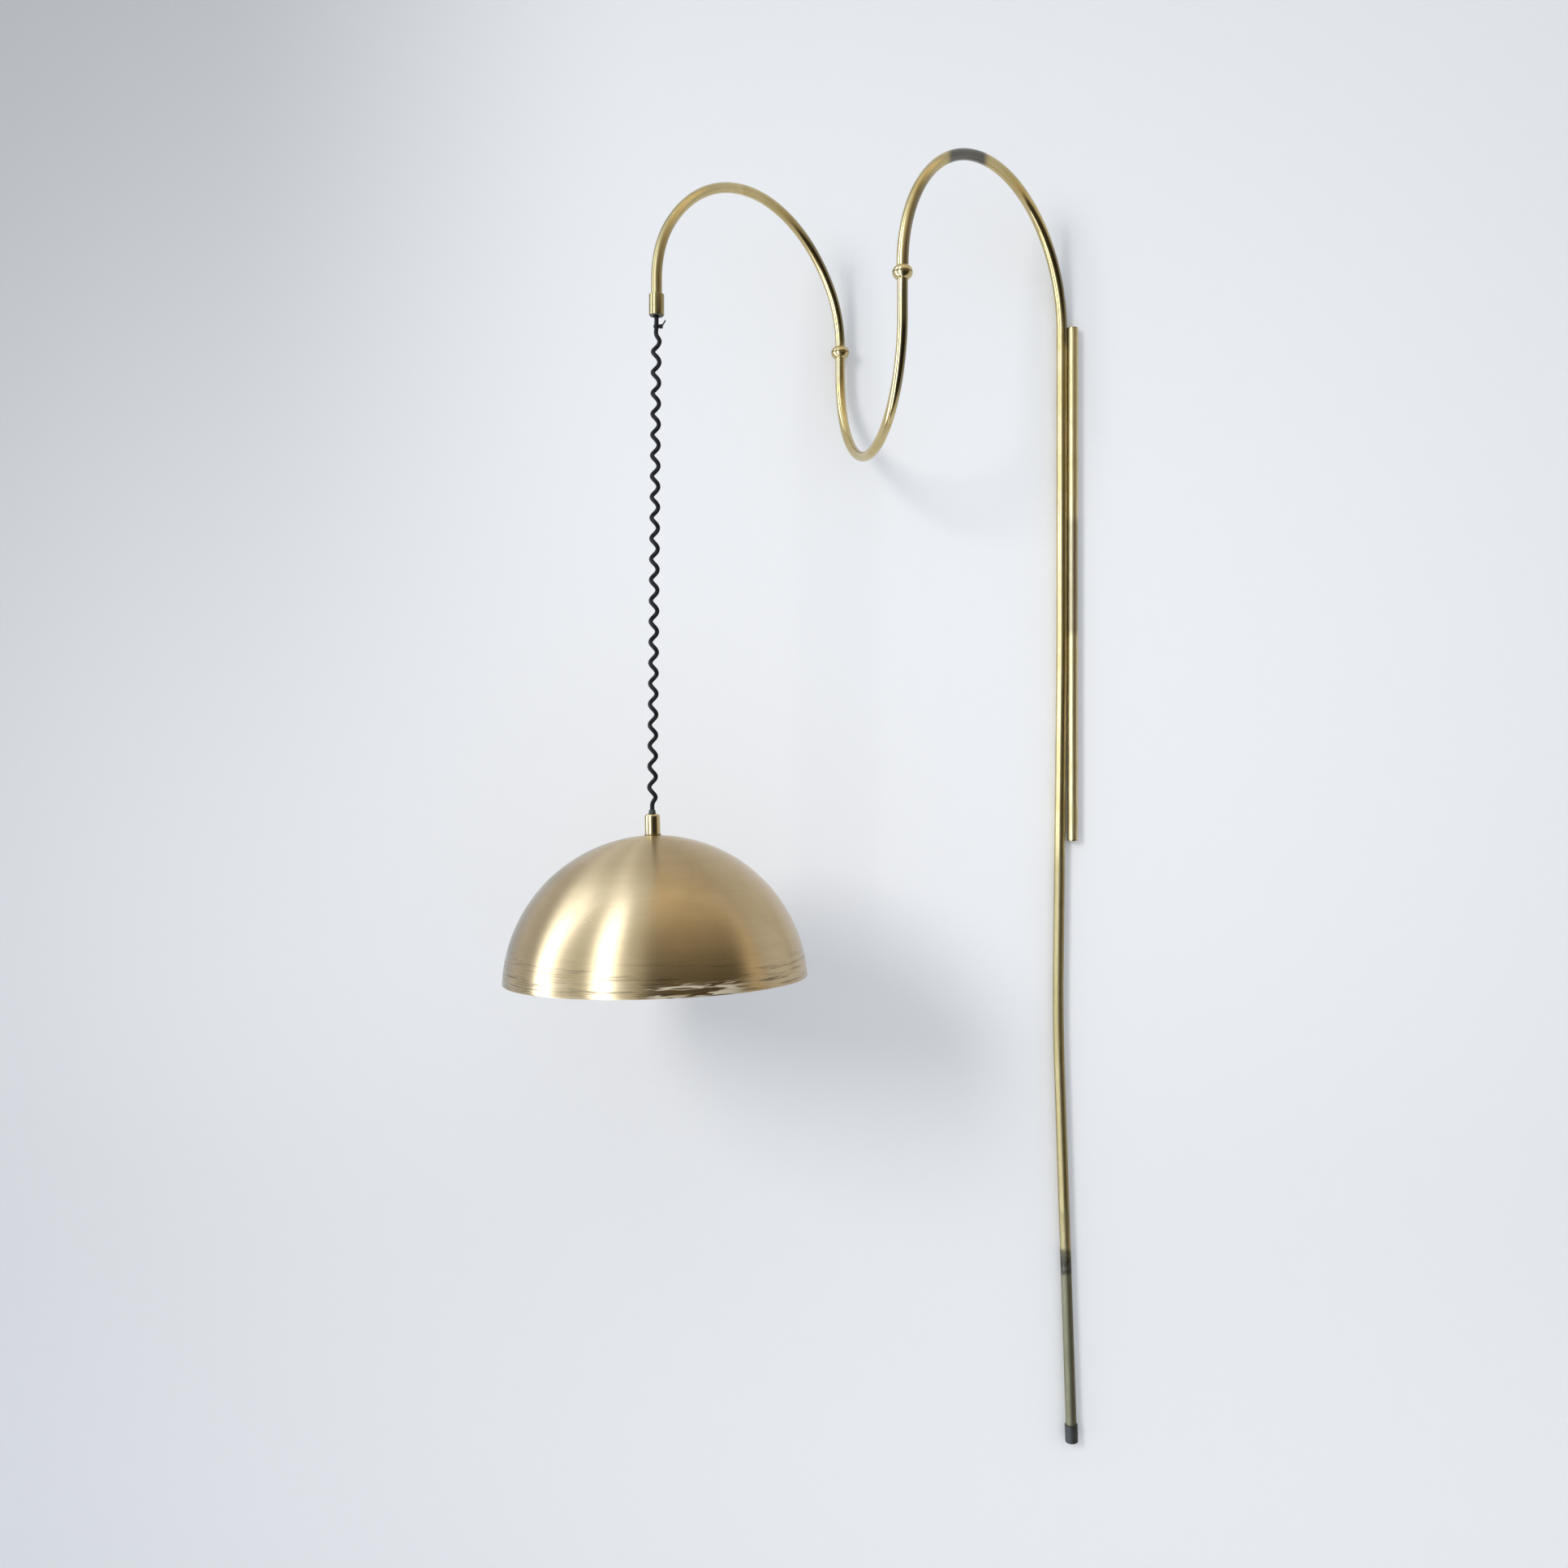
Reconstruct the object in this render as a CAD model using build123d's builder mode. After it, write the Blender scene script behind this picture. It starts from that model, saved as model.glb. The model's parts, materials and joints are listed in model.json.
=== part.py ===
"""Hanging pendant wall sconce: a brass stem on a short wall tube, two swivelling arched arms,
and a spun brass dome on a curly black cord.

Frame: millimetres, +X right along the wall, +Y into the wall, +Z up. The origin is on the wall
plane, behind the middle of the wall tube. The lamp is on the -Y side.
"""

import os
from math import asin, atan2, cos, hypot, pi, radians, sin, sqrt, tan

from build123d import *

os.makedirs("parts", exist_ok=True)

# ---------------------------------------------------------------- driving dimensions
# Wall tube and the flat bar behind it
WALL_TUBE_LENGTH = 690.0
WALL_TUBE_OD = 14.3
WALL_TUBE_WALL = 1.2
BAR_SETBACK = 10.0
BAR_WIDTH = 10.0
BAR_THICKNESS = 2.5
BAR_SEAT_DEPTH = 1.0
PLUG_SPIGOT = 8.0
PLUG_HEAD = 2.0
KEYHOLE_MARGIN = 35.0
KEYHOLE_ENTRY_R = 4.5
KEYHOLE_SHANK_R = 2.25
KEYHOLE_RISE = 9.0
HEAD_RELIEF_R = 5.0

# Stem: tail, straight run beside the wall tube and inner arch, one bent tube
STEM_OD = 14.3
STEM_WALL = 1.2
STEM_GAP = 0.1
TAIL_END_Z = -1157.0
TAIL_LEAN_Z = -90.0
TAIL_LEAN = 0.6
TAIL_BOW_Z = -587.0
TAIL_RETURN = 1.9
TAIL_LEAN_RADIUS = 6000.0
TAIL_BOW_RADIUS = 3000.0
SADDLE_BELOW_TOP = 85.0
SADDLE_ABOVE_LEAN = 30.0
SADDLE_LENGTH = 26.0
SADDLE_WIDTH = 9.0

# Arms: each heading is measured in plan from -X, positive away from the wall
ARM_OD = 12.7
ARM_WALL = 1.0
INNER_ARCH_RADIUS = 177.3
INNER_ARCH_HEADING = 50.0
INNER_SWIVEL_Z = 332.5
LINK_RADIUS = 134.5
LINK_HEADING = -74.5
LINK_SPRING_Z = 281.5
OUTER_SWIVEL_Z = 312.5
OUTER_ARCH_SPAN = 352.6
OUTER_ARCH_RISE = 152.5
OUTER_ARCH_SIDE_RADIUS = 125.5
OUTER_ARCH_HEADING = 52.2
ARCH_LEG = 8.5

# Swivels: two half beads on a hollow stud
BEAD_RADIUS = 12.2
BEAD_HALF_HEIGHT = 8.2
BEAD_BULGE = 4.6
BEAD_LIP = 0.9
BEAD_SLIT = 0.8
BEAD_WEB = 2.5
TUBE_SEAT = 4.6
STUD_RADIUS = 4.0
STUD_BORE_RADIUS = 2.6
STUD_FLANGE_RADIUS = 5.0
STUD_FLANGE = 1.5
STUD_FLANGE_CLEARANCE = 0.3
SWIVEL_WASHER_RADIUS = 9.5
GRUB_RADIUS = 1.5
GRUB_SINK = 0.6
RUN_CLEARANCE = 0.05

# End sleeve and the ball joint that the cord hangs from
SLEEVE_OD = 17.8
SLEEVE_LENGTH = 24.3
SLEEVE_BOTTOM_Z = 278.9
BALL_RADIUS = 5.0
LINER_WALL = 1.0
LINER_HALF_HEIGHT = 3.0
BALL_RISE = 8.6
BALL_SEAT_DROP = 3.9
SLEEVE_MOUTH_RADIUS = 6.0
SEAT_RING_BORE = 4.0
ARM_END_ABOVE_BALL = 6.0

# Leads
LEAD_RADIUS = 2.2
LEAD_END_GAP = 0.1
TERMINAL_RADIUS = 4.6
TERMINAL_LENGTH = 24.0
TERMINAL_ABOVE_END = 34.0

# Curly cord
CORD_RADIUS = 2.6
CORD_LEAN = 0.5
CURL_RADIUS = 3.9
CURL_COUNT = 22
FIRST_CURL_Z = 248.8
LAST_CURL_Z = -284.7
CURL_EASE = 14.0
BALL_GRIP = 3.0
RELIEF_GRIP = 3.0
TIE_Z = 266.0
TIE_WIDTH = 2.6
TIE_BAND = 0.9
TIE_TAIL_OUT = 4.4
TIE_TAIL_RISE = 7.5

# Foot
FOOT_OD = 17.2
FOOT_LENGTH = 24.0
FOOT_FLOOR = 4.0
INLET_RADIUS = 3.2

# Pendant head, measured down the shade's own axis from the hang point
HANG_Z = -304.5
SHADE_TILT = 1.3
RELIEF_RISE = 5.0
RELIEF_DEPTH = 10.0
RELIEF_TIP_RADIUS = 3.6
GRIP_RADIUS = 9.0
GRIP_BORE = 5.0
GRIP_LENGTH = 23.6
GRIP_SHOULDER = 3.0
FLANGE_RADIUS = 9.8
FLANGE_THICKNESS = 1.5
NIPPLE_BORE = 3.4
NIPPLE_ENTRY = 9.0
SHADE_RADIUS = 177.5
SHADE_DEPTH = 166.8
SHADE_WALL = 0.9
SHADE_SEAT_RADIUS = 11.5
SHADE_HOLE_CLEARANCE = 0.2
HEM_WIDTH = 5.0
HEM_WALL = 1.8
SHADE_WASHER = 1.2
NUT_FLATS = 14.0
NUT_THICKNESS = 3.5

# Lampholder and bulb
HOLDER_NECK = 9.0
HOLDER_NECK_RADIUS = 8.0
HOLDER_RADIUS = 18.0
HOLDER_WALL = 1.2
HOLDER_SHOULDER = 10.0
HOLDER_SKIRT = 8.0
HOLDER_SHELL_LENGTH = 40.0
INSULATOR_THICKNESS = 9.0
SCREW_SHELL_RADIUS = 14.0
SCREW_SHELL_WALL = 0.5
SCREW_SHELL_LENGTH = 22.0
CONTACT_RADIUS = 3.0
CONTACT_HEIGHT = 1.6
BULB_CAP_RADIUS = 13.2
BULB_CAP_LENGTH = 25.0
BULB_TIP_RADIUS = 4.5
BULB_TIP = 2.0
BULB_RADIUS = 30.0
BULB_LENGTH = 108.0
BULB_NECK_RADIUS = 12.6
BULB_WALL = 1.0
FIT_GAP = 0.1

# ---------------------------------------------------------------- worked-out places
bar_length = WALL_TUBE_LENGTH - 2 * BAR_SETBACK
keyhole_spacing = bar_length - 2 * KEYHOLE_MARGIN
upper_saddle_z = WALL_TUBE_LENGTH / 2 - SADDLE_BELOW_TOP
lower_saddle_z = TAIL_LEAN_Z + SADDLE_ABOVE_LEAN
middle_saddle_z = (upper_saddle_z + lower_saddle_z) / 2
wall_tube_r = WALL_TUBE_OD / 2
stem_r = STEM_OD / 2
arm_r = ARM_OD / 2
tube_y = -(BAR_THICKNESS - BAR_SEAT_DEPTH + wall_tube_r)
stem_x = -(wall_tube_r + STEM_GAP + stem_r)
arch_spring_z = INNER_SWIVEL_Z + ARCH_LEG
outer_spring_z = OUTER_SWIVEL_Z + ARCH_LEG


def heading(angle):
    """Unit vector in plan, turned from -X by angle degrees away from the wall."""
    return Vector(-cos(radians(angle)), -sin(radians(angle)), 0)


stem_top = Vector(stem_x, tube_y, 0)
inner_axis = stem_top + heading(INNER_ARCH_HEADING) * (2 * INNER_ARCH_RADIUS)
outer_axis = inner_axis + heading(LINK_HEADING) * (2 * LINK_RADIUS)
drop_axis = outer_axis + heading(OUTER_ARCH_HEADING) * OUTER_ARCH_SPAN
ball_z = SLEEVE_BOTTOM_Z + BALL_RISE
arm_end_z = ball_z + ARM_END_ABOVE_BALL


def raised(point, z):
    """The point moved to height z."""
    return Vector(point.X, point.Y, z)


def upright_section(point, z):
    """Section plane through a vertical axis: x is the radius, y is the height above z."""
    return Plane(origin=(point.X, point.Y, z), x_dir=(1, 0, 0), z_dir=(0, -1, 0))


def half_round(start, direction, radius, up):
    """Half circle in a vertical plane, as two quarter arcs, from start along direction."""
    rise = Vector(0, 0, up * radius)
    centre = start + direction * radius
    slant = sqrt(0.5)
    crown = centre + rise
    end = centre + direction * radius
    ThreePointArc(start, centre - direction * (radius * slant) + rise * slant, crown)
    ThreePointArc(crown, centre + direction * (radius * slant) + rise * slant, end)
    return end


def basket_arch(start, direction, span, rise, side_radius):
    """Three-centred arch in a vertical plane: two side arcs and a flatter crown arc."""
    half = span / 2
    drop = ((half - side_radius) ** 2 - (rise - side_radius) ** 2) / (2 * (rise - side_radius))
    crown_radius = rise + drop
    crown_half_angle = atan2(half - side_radius, drop)

    def at(along, up):
        return start + direction * along + Vector(0, 0, up)

    side_mid = (pi / 2 + crown_half_angle) / 2
    joint_along = half - crown_radius * sin(crown_half_angle)
    joint_up = crown_radius * cos(crown_half_angle) - drop
    mid_along = side_radius * (1 - sin(side_mid))
    mid_up = side_radius * cos(side_mid)
    ThreePointArc(at(0, 0), at(mid_along, mid_up), at(joint_along, joint_up))
    ThreePointArc(at(joint_along, joint_up), at(half, rise), at(span - joint_along, joint_up))
    ThreePointArc(at(span - joint_along, joint_up), at(span - mid_along, mid_up), at(span, 0))
    return at(span, 0)


# The tail leans a little away from the wall tube, then bows back under it
lean_point = Vector(stem_x, tube_y, TAIL_LEAN_Z)
bow_point = Vector(
    stem_x - (TAIL_LEAN_Z - TAIL_BOW_Z) * tan(radians(TAIL_LEAN)), tube_y, TAIL_BOW_Z
)
tail_direction = Vector(sin(radians(TAIL_RETURN)), 0, -cos(radians(TAIL_RETURN)))


def tail_point(z):
    """Point of the tail's straight lower run at height z."""
    return bow_point + tail_direction * ((bow_point.Z - z) / -tail_direction.Z)


def stem_route(foot_z, joint_z):
    """Centreline of the stem: up the tail, along the wall tube and over the inner arch."""
    spring = raised(stem_top, arch_spring_z)
    FilletPolyline(
        tail_point(foot_z),
        bow_point,
        lean_point,
        spring,
        radius=[TAIL_BOW_RADIUS, TAIL_LEAN_RADIUS],
    )
    end = half_round(spring, heading(INNER_ARCH_HEADING), INNER_ARCH_RADIUS, 1)
    Line(end, raised(end, joint_z))


def link_route(inner_z, outer_z):
    """Centreline of the U link, from the inner swivel down, round and up to the outer one."""
    Line(raised(inner_axis, inner_z), raised(inner_axis, LINK_SPRING_Z))
    end = half_round(raised(inner_axis, LINK_SPRING_Z), heading(LINK_HEADING), LINK_RADIUS, -1)
    Line(end, raised(end, outer_z))


def outer_route(joint_z, end_z):
    """Centreline of the outer arch, from the outer swivel over to the end sleeve."""
    spring = raised(outer_axis, outer_spring_z)
    Line(raised(outer_axis, joint_z), spring)
    end = basket_arch(
        spring,
        heading(OUTER_ARCH_HEADING),
        OUTER_ARCH_SPAN,
        OUTER_ARCH_RISE,
        OUTER_ARCH_SIDE_RADIUS,
    )
    Line(end, raised(end, end_z))


pieces = {}

# ---------------------------------------------------------------- wall bar and wall tube
keyhole_heights = (-keyhole_spacing / 2, keyhole_spacing / 2)
wall_face = Plane(origin=(0, 0, 0), x_dir=(1, 0, 0), z_dir=(0, -1, 0))

# Flat bar on the wall, hollowed along its front to seat the tube, with two keyholes
with BuildPart() as wall_bar:
    with BuildSketch(wall_face):
        Rectangle(BAR_WIDTH, bar_length)
    extrude(amount=BAR_THICKNESS)
    with BuildSketch(Plane.XY.offset(-bar_length / 2)):
        with Locations((0, tube_y)):
            Circle(wall_tube_r)
    extrude(amount=bar_length, mode=Mode.SUBTRACT)
    with BuildSketch(wall_face):
        for height in keyhole_heights:
            with Locations((0, height)):
                Circle(KEYHOLE_ENTRY_R)
            with Locations((0, height + KEYHOLE_RISE / 2)):
                SlotCenterToCenter(KEYHOLE_RISE, 2 * KEYHOLE_SHANK_R, rotation=90)
    extrude(amount=BAR_THICKNESS, mode=Mode.SUBTRACT)
pieces["wall_bar"] = wall_bar

# Wall tube, relieved behind each keyhole so that a screw head can drop inside it
with BuildPart() as wall_tube:
    with BuildSketch(Plane.XY.offset(-WALL_TUBE_LENGTH / 2)):
        with Locations((0, tube_y)):
            Circle(wall_tube_r)
            Circle(wall_tube_r - WALL_TUBE_WALL, mode=Mode.SUBTRACT)
    extrude(amount=WALL_TUBE_LENGTH)
    with BuildSketch(wall_face):
        for height in keyhole_heights:
            with Locations((0, height + KEYHOLE_RISE / 2)):
                SlotCenterToCenter(KEYHOLE_RISE, 2 * HEAD_RELIEF_R, rotation=90)
    extrude(amount=-tube_y, mode=Mode.SUBTRACT)
pieces["wall_tube"] = wall_tube

# Turned plugs that close the wall tube's two ends, with a rounded edge
for side, name in ((1, "wall_tube_top_plug"), (-1, "wall_tube_bottom_plug")):
    end_section = upright_section(Vector(0, tube_y, 0), side * WALL_TUBE_LENGTH / 2)
    with BuildPart() as plug:
        with BuildSketch(end_section):
            with BuildLine():
                Polyline(
                    (0, side * PLUG_HEAD),
                    (0, -side * PLUG_SPIGOT),
                    (wall_tube_r - WALL_TUBE_WALL, -side * PLUG_SPIGOT),
                    (wall_tube_r - WALL_TUBE_WALL, 0),
                    (wall_tube_r, 0),
                    (wall_tube_r, side * PLUG_HEAD / 2),
                )
                ThreePointArc(
                    (wall_tube_r, side * PLUG_HEAD / 2),
                    (wall_tube_r - PLUG_HEAD / 6, side * PLUG_HEAD * 5 / 6),
                    (wall_tube_r - PLUG_HEAD / 2, side * PLUG_HEAD),
                )
                Line((wall_tube_r - PLUG_HEAD / 2, side * PLUG_HEAD), (0, side * PLUG_HEAD))
            make_face()
        revolve(axis=Axis(end_section.origin, end_section.y_dir))
    pieces[name] = plug

# Brazed saddles in the valley behind the two tubes, hollowed to fit both
saddle_places = (
    ("upper_saddle", upper_saddle_z),
    ("middle_saddle", middle_saddle_z),
    ("lower_saddle", lower_saddle_z),
)
for name, height in saddle_places:
    with BuildPart() as saddle:
        with BuildSketch(Plane.XY.offset(height - SADDLE_LENGTH / 2)):
            with Locations((stem_x / 2, (tube_y - BAR_THICKNESS) / 2)):
                Rectangle(SADDLE_WIDTH, -tube_y - BAR_THICKNESS)
            with Locations((0, tube_y)):
                Circle(wall_tube_r, mode=Mode.SUBTRACT)
            with Locations((stem_x, tube_y)):
                Circle(stem_r, mode=Mode.SUBTRACT)
        extrude(amount=SADDLE_LENGTH)
    pieces[name] = saddle

# ---------------------------------------------------------------- bent tubes and their leads
with BuildPart() as stem_tube:
    with BuildLine() as stem_line:
        stem_route(TAIL_END_Z, INNER_SWIVEL_Z + TUBE_SEAT)
    with BuildSketch(Plane(origin=stem_line.line @ 0, z_dir=stem_line.line % 0)):
        Circle(stem_r)
        Circle(stem_r - STEM_WALL, mode=Mode.SUBTRACT)
    sweep()
pieces["stem_tube"] = stem_tube

with BuildPart() as u_tube:
    with BuildLine() as link_line:
        link_route(INNER_SWIVEL_Z - TUBE_SEAT, OUTER_SWIVEL_Z - TUBE_SEAT)
    with BuildSketch(Plane(origin=link_line.line @ 0, z_dir=link_line.line % 0)):
        Circle(arm_r)
        Circle(arm_r - ARM_WALL, mode=Mode.SUBTRACT)
    sweep()
pieces["u_tube"] = u_tube

with BuildPart() as outer_arch_tube:
    with BuildLine() as outer_line:
        outer_route(OUTER_SWIVEL_Z + TUBE_SEAT, arm_end_z)
    with BuildSketch(Plane(origin=outer_line.line @ 0, z_dir=outer_line.line % 0)):
        Circle(arm_r)
        Circle(arm_r - ARM_WALL, mode=Mode.SUBTRACT)
    sweep()
pieces["outer_arch_tube"] = outer_arch_tube

# Round two-core leads along the same centrelines, parted at the swivels
terminal_z = TAIL_END_Z + TERMINAL_ABOVE_END
with BuildPart() as stem_lead:
    with BuildLine() as stem_lead_line:
        stem_route(terminal_z, INNER_SWIVEL_Z + LEAD_END_GAP)
    with BuildSketch(Plane(origin=stem_lead_line.line @ 0, z_dir=stem_lead_line.line % 0)):
        Circle(LEAD_RADIUS)
    sweep()
pieces["stem_lead"] = stem_lead

with BuildPart() as u_lead:
    with BuildLine() as u_lead_line:
        link_route(INNER_SWIVEL_Z - LEAD_END_GAP, OUTER_SWIVEL_Z - LEAD_END_GAP)
    with BuildSketch(Plane(origin=u_lead_line.line @ 0, z_dir=u_lead_line.line % 0)):
        Circle(LEAD_RADIUS)
    sweep()
pieces["u_lead"] = u_lead

lead_stop_z = ball_z + BALL_RADIUS + 2 * LEAD_RADIUS
with BuildPart() as outer_lead:
    with BuildLine() as outer_lead_line:
        outer_route(OUTER_SWIVEL_Z + LEAD_END_GAP, lead_stop_z)
    with BuildSketch(Plane(origin=outer_lead_line.line @ 0, z_dir=outer_lead_line.line % 0)):
        Circle(LEAD_RADIUS)
    sweep()
pieces["outer_lead"] = outer_lead

# ---------------------------------------------------------------- foot of the tail
foot_top = tail_point(TAIL_END_Z) - tail_direction * (FOOT_LENGTH - FOOT_FLOOR)
foot_plane = Plane(origin=foot_top, x_dir=(0, 1, 0), z_dir=tail_direction)

# Rubber cap over the tube's end, which bears on the wall, with the hole for the mains lead
with BuildPart() as foot_cap:
    with BuildSketch(foot_plane):
        Circle(FOOT_OD / 2)
    extrude(amount=FOOT_LENGTH)
    chamfer(foot_cap.faces().sort_by(Axis.Z)[0].edges(), FOOT_FLOOR / 4)
    with BuildSketch(foot_plane):
        Circle(stem_r)
    extrude(amount=FOOT_LENGTH - FOOT_FLOOR, mode=Mode.SUBTRACT)
    with BuildSketch(foot_plane):
        Circle(INLET_RADIUS)
    extrude(amount=FOOT_LENGTH, mode=Mode.SUBTRACT)
pieces["foot_cap"] = foot_cap

# Two-pole terminal inside the tail, where the mains lead meets the stem's own lead
terminal_plane = Plane(origin=tail_point(terminal_z), x_dir=(0, 1, 0), z_dir=tail_direction)
with BuildPart() as inlet_terminal:
    with BuildSketch(terminal_plane):
        Circle(TERMINAL_RADIUS)
    extrude(amount=TERMINAL_LENGTH)
    chamfer(inlet_terminal.faces().sort_by(Axis.Z)[0].edges(), LEAD_RADIUS / 4)
    with BuildSketch(terminal_plane.offset(TERMINAL_LENGTH)):
        with Locations((0, LEAD_RADIUS), (0, -LEAD_RADIUS)):
            Circle(LEAD_RADIUS / 2)
    extrude(amount=-TERMINAL_LENGTH / 3, mode=Mode.SUBTRACT)
pieces["inlet_terminal"] = inlet_terminal

# ---------------------------------------------------------------- swivels
half_slit = BEAD_SLIT / 2


def half_bead(section, side, tube_radius, bore, grub_plane=None):
    """Half of a swivel's bead: bore lists the inner corners from the slit to the tube's end."""
    lip = tube_radius + BEAD_LIP
    with BuildPart() as bead:
        with BuildSketch(section):
            with BuildLine():
                Polyline(
                    (BEAD_RADIUS, side * half_slit),
                    *[(radius, side * height) for radius, height in bore],
                    (tube_radius, side * TUBE_SEAT),
                    (tube_radius, side * BEAD_HALF_HEIGHT),
                    (lip, side * BEAD_HALF_HEIGHT),
                )
                ThreePointArc(
                    (lip, side * BEAD_HALF_HEIGHT),
                    ((BEAD_RADIUS + lip) / 2 + BEAD_LIP, side * (BEAD_BULGE + half_slit)),
                    (BEAD_RADIUS, side * half_slit),
                )
            make_face()
        revolve(axis=Axis(section.origin, section.y_dir))
        if grub_plane:
            with BuildSketch(grub_plane):
                Circle(GRUB_RADIUS)
            extrude(amount=BEAD_RADIUS, mode=Mode.SUBTRACT)
    return bead


def swivel(prefix, names, axis_point, z, fixed_side, fixed_tube, turning_tube):
    """One swivel: fixed_side is +1 when the bead that stays is the upper one."""
    section = upright_section(axis_point, z)
    web_top = half_slit + BEAD_WEB
    flange_bore = STUD_FLANGE_RADIUS + STUD_FLANGE_CLEARANCE
    fixed_name, turning_name = names
    pieces[prefix + fixed_name] = half_bead(
        section,
        fixed_side,
        fixed_tube,
        (
            (STUD_RADIUS + RUN_CLEARANCE, half_slit),
            (STUD_RADIUS + RUN_CLEARANCE, web_top),
            (flange_bore, web_top),
            (flange_bore, TUBE_SEAT),
        ),
    )
    grub_z = -fixed_side * (half_slit + TUBE_SEAT) / 2
    grub_plane = Plane(origin=(axis_point.X, axis_point.Y, z + grub_z), z_dir=(1, 0, 0))
    pieces[prefix + turning_name] = half_bead(
        section,
        -fixed_side,
        turning_tube,
        ((STUD_RADIUS, half_slit), (STUD_RADIUS, TUBE_SEAT)),
        grub_plane,
    )

    # Hollow stud: fixed in the turning bead, its flange running above the other bead's web
    flange_foot = fixed_side * (web_top + RUN_CLEARANCE)
    flange_head = fixed_side * (web_top + RUN_CLEARANCE + STUD_FLANGE)
    with BuildPart() as stud:
        with BuildSketch(section):
            with BuildLine():
                Polyline(
                    (STUD_BORE_RADIUS, -fixed_side * TUBE_SEAT),
                    (STUD_RADIUS, -fixed_side * TUBE_SEAT),
                    (STUD_RADIUS, flange_foot),
                    (STUD_FLANGE_RADIUS, flange_foot),
                    (STUD_FLANGE_RADIUS, flange_head),
                    (STUD_BORE_RADIUS, flange_head),
                    close=True,
                )
            make_face()
        revolve(axis=Axis(section.origin, section.y_dir))
    pieces[prefix + "stud"] = stud

    # Friction washer in the slit between the beads
    with BuildPart() as washer:
        with BuildSketch(Plane.XY.offset(z - fixed_side * half_slit)):
            with Locations((axis_point.X, axis_point.Y)):
                Circle(SWIVEL_WASHER_RADIUS)
                Circle(STUD_RADIUS, mode=Mode.SUBTRACT)
        extrude(amount=fixed_side * (BEAD_SLIT - RUN_CLEARANCE))
    pieces[prefix + "washer"] = washer

    # Grub screw that locks the stud in the turning bead, with a slot for the driver
    reach = BEAD_RADIUS - BEAD_LIP - GRUB_SINK - STUD_RADIUS
    with BuildPart() as grub:
        with BuildSketch(grub_plane.offset(STUD_RADIUS)):
            Circle(GRUB_RADIUS)
        extrude(amount=reach)
        with BuildSketch(grub_plane.offset(STUD_RADIUS + reach)):
            Rectangle(2 * GRUB_RADIUS, GRUB_RADIUS / 3)
        extrude(amount=-GRUB_SINK, mode=Mode.SUBTRACT)
    pieces[prefix + "grub_screw"] = grub


swivel(
    "inner_swivel_", ("upper_bead", "lower_bead"), inner_axis, INNER_SWIVEL_Z, 1, stem_r, arm_r
)
swivel(
    "outer_swivel_", ("lower_bead", "upper_bead"), outer_axis, OUTER_SWIVEL_Z, -1, arm_r, arm_r
)

# ---------------------------------------------------------------- end sleeve and ball joint
ball_section = upright_section(drop_axis, ball_z)
ball_axis = Axis(ball_section.origin, ball_section.y_dir)
socket_r = BALL_RADIUS + LINER_WALL + 2 * RUN_CLEARANCE
liner_outer = BALL_RADIUS + LINER_WALL + RUN_CLEARANCE
liner_inner = BALL_RADIUS + RUN_CLEARANCE
lip_radius = sqrt(socket_r**2 - BALL_SEAT_DROP**2)
sleeve_top = SLEEVE_LENGTH - BALL_RISE

# Turned sleeve round the arm's end: a tube socket above, a ball seat and a flared mouth below
with BuildPart() as end_sleeve:
    with BuildSketch(ball_section):
        with BuildLine():
            Polyline(
                (socket_r, 0),
                (arm_r, 0),
                (arm_r, sleeve_top),
                (SLEEVE_OD / 2, sleeve_top),
                (SLEEVE_OD / 2, -BALL_RISE),
                (SLEEVE_MOUTH_RADIUS, -BALL_RISE),
                (lip_radius, -BALL_SEAT_DROP),
            )
            half_drop = BALL_SEAT_DROP / 2
            ThreePointArc(
                (lip_radius, -BALL_SEAT_DROP),
                (sqrt(socket_r**2 - half_drop**2), -half_drop),
                (socket_r, 0),
            )
        make_face()
    revolve(axis=ball_axis)
pieces["end_sleeve"] = end_sleeve

# Brass ring between the arm's end and the ball, which closes the socket from above
ring_low = sqrt(socket_r**2 - SEAT_RING_BORE**2)
ring_mid = (socket_r + SEAT_RING_BORE) / 2
with BuildPart() as seat_ring:
    with BuildSketch(ball_section):
        with BuildLine():
            Polyline(
                (SEAT_RING_BORE, ring_low),
                (SEAT_RING_BORE + LINER_WALL, ARM_END_ABOVE_BALL),
                (arm_r, ARM_END_ABOVE_BALL),
                (arm_r, 0),
                (socket_r, 0),
            )
            ThreePointArc(
                (socket_r, 0),
                (ring_mid, sqrt(socket_r**2 - ring_mid**2)),
                (SEAT_RING_BORE, ring_low),
            )
        make_face()
    revolve(axis=ball_axis)
pieces["seat_ring"] = seat_ring

# Nylon liner: a zone of a spherical shell that turns in the socket, round the ball
with BuildPart() as ball_liner:
    with BuildSketch(ball_section):
        with BuildLine():
            inner_edge = sqrt(liner_inner**2 - LINER_HALF_HEIGHT**2)
            outer_edge = sqrt(liner_outer**2 - LINER_HALF_HEIGHT**2)
            Line((inner_edge, -LINER_HALF_HEIGHT), (outer_edge, -LINER_HALF_HEIGHT))
            ThreePointArc(
                (outer_edge, -LINER_HALF_HEIGHT), (liner_outer, 0), (outer_edge, LINER_HALF_HEIGHT)
            )
            Line((outer_edge, LINER_HALF_HEIGHT), (inner_edge, LINER_HALF_HEIGHT))
            ThreePointArc(
                (inner_edge, LINER_HALF_HEIGHT), (liner_inner, 0), (inner_edge, -LINER_HALF_HEIGHT)
            )
        make_face()
    revolve(axis=ball_axis)
pieces["ball_liner"] = ball_liner

# The cord hangs a little askew: it leans in the plane of the wall, its foot towards -X
lean = radians(CORD_LEAN)
cord_up = Vector(sin(lean), 0, cos(lean))
down = -cord_up


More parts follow.
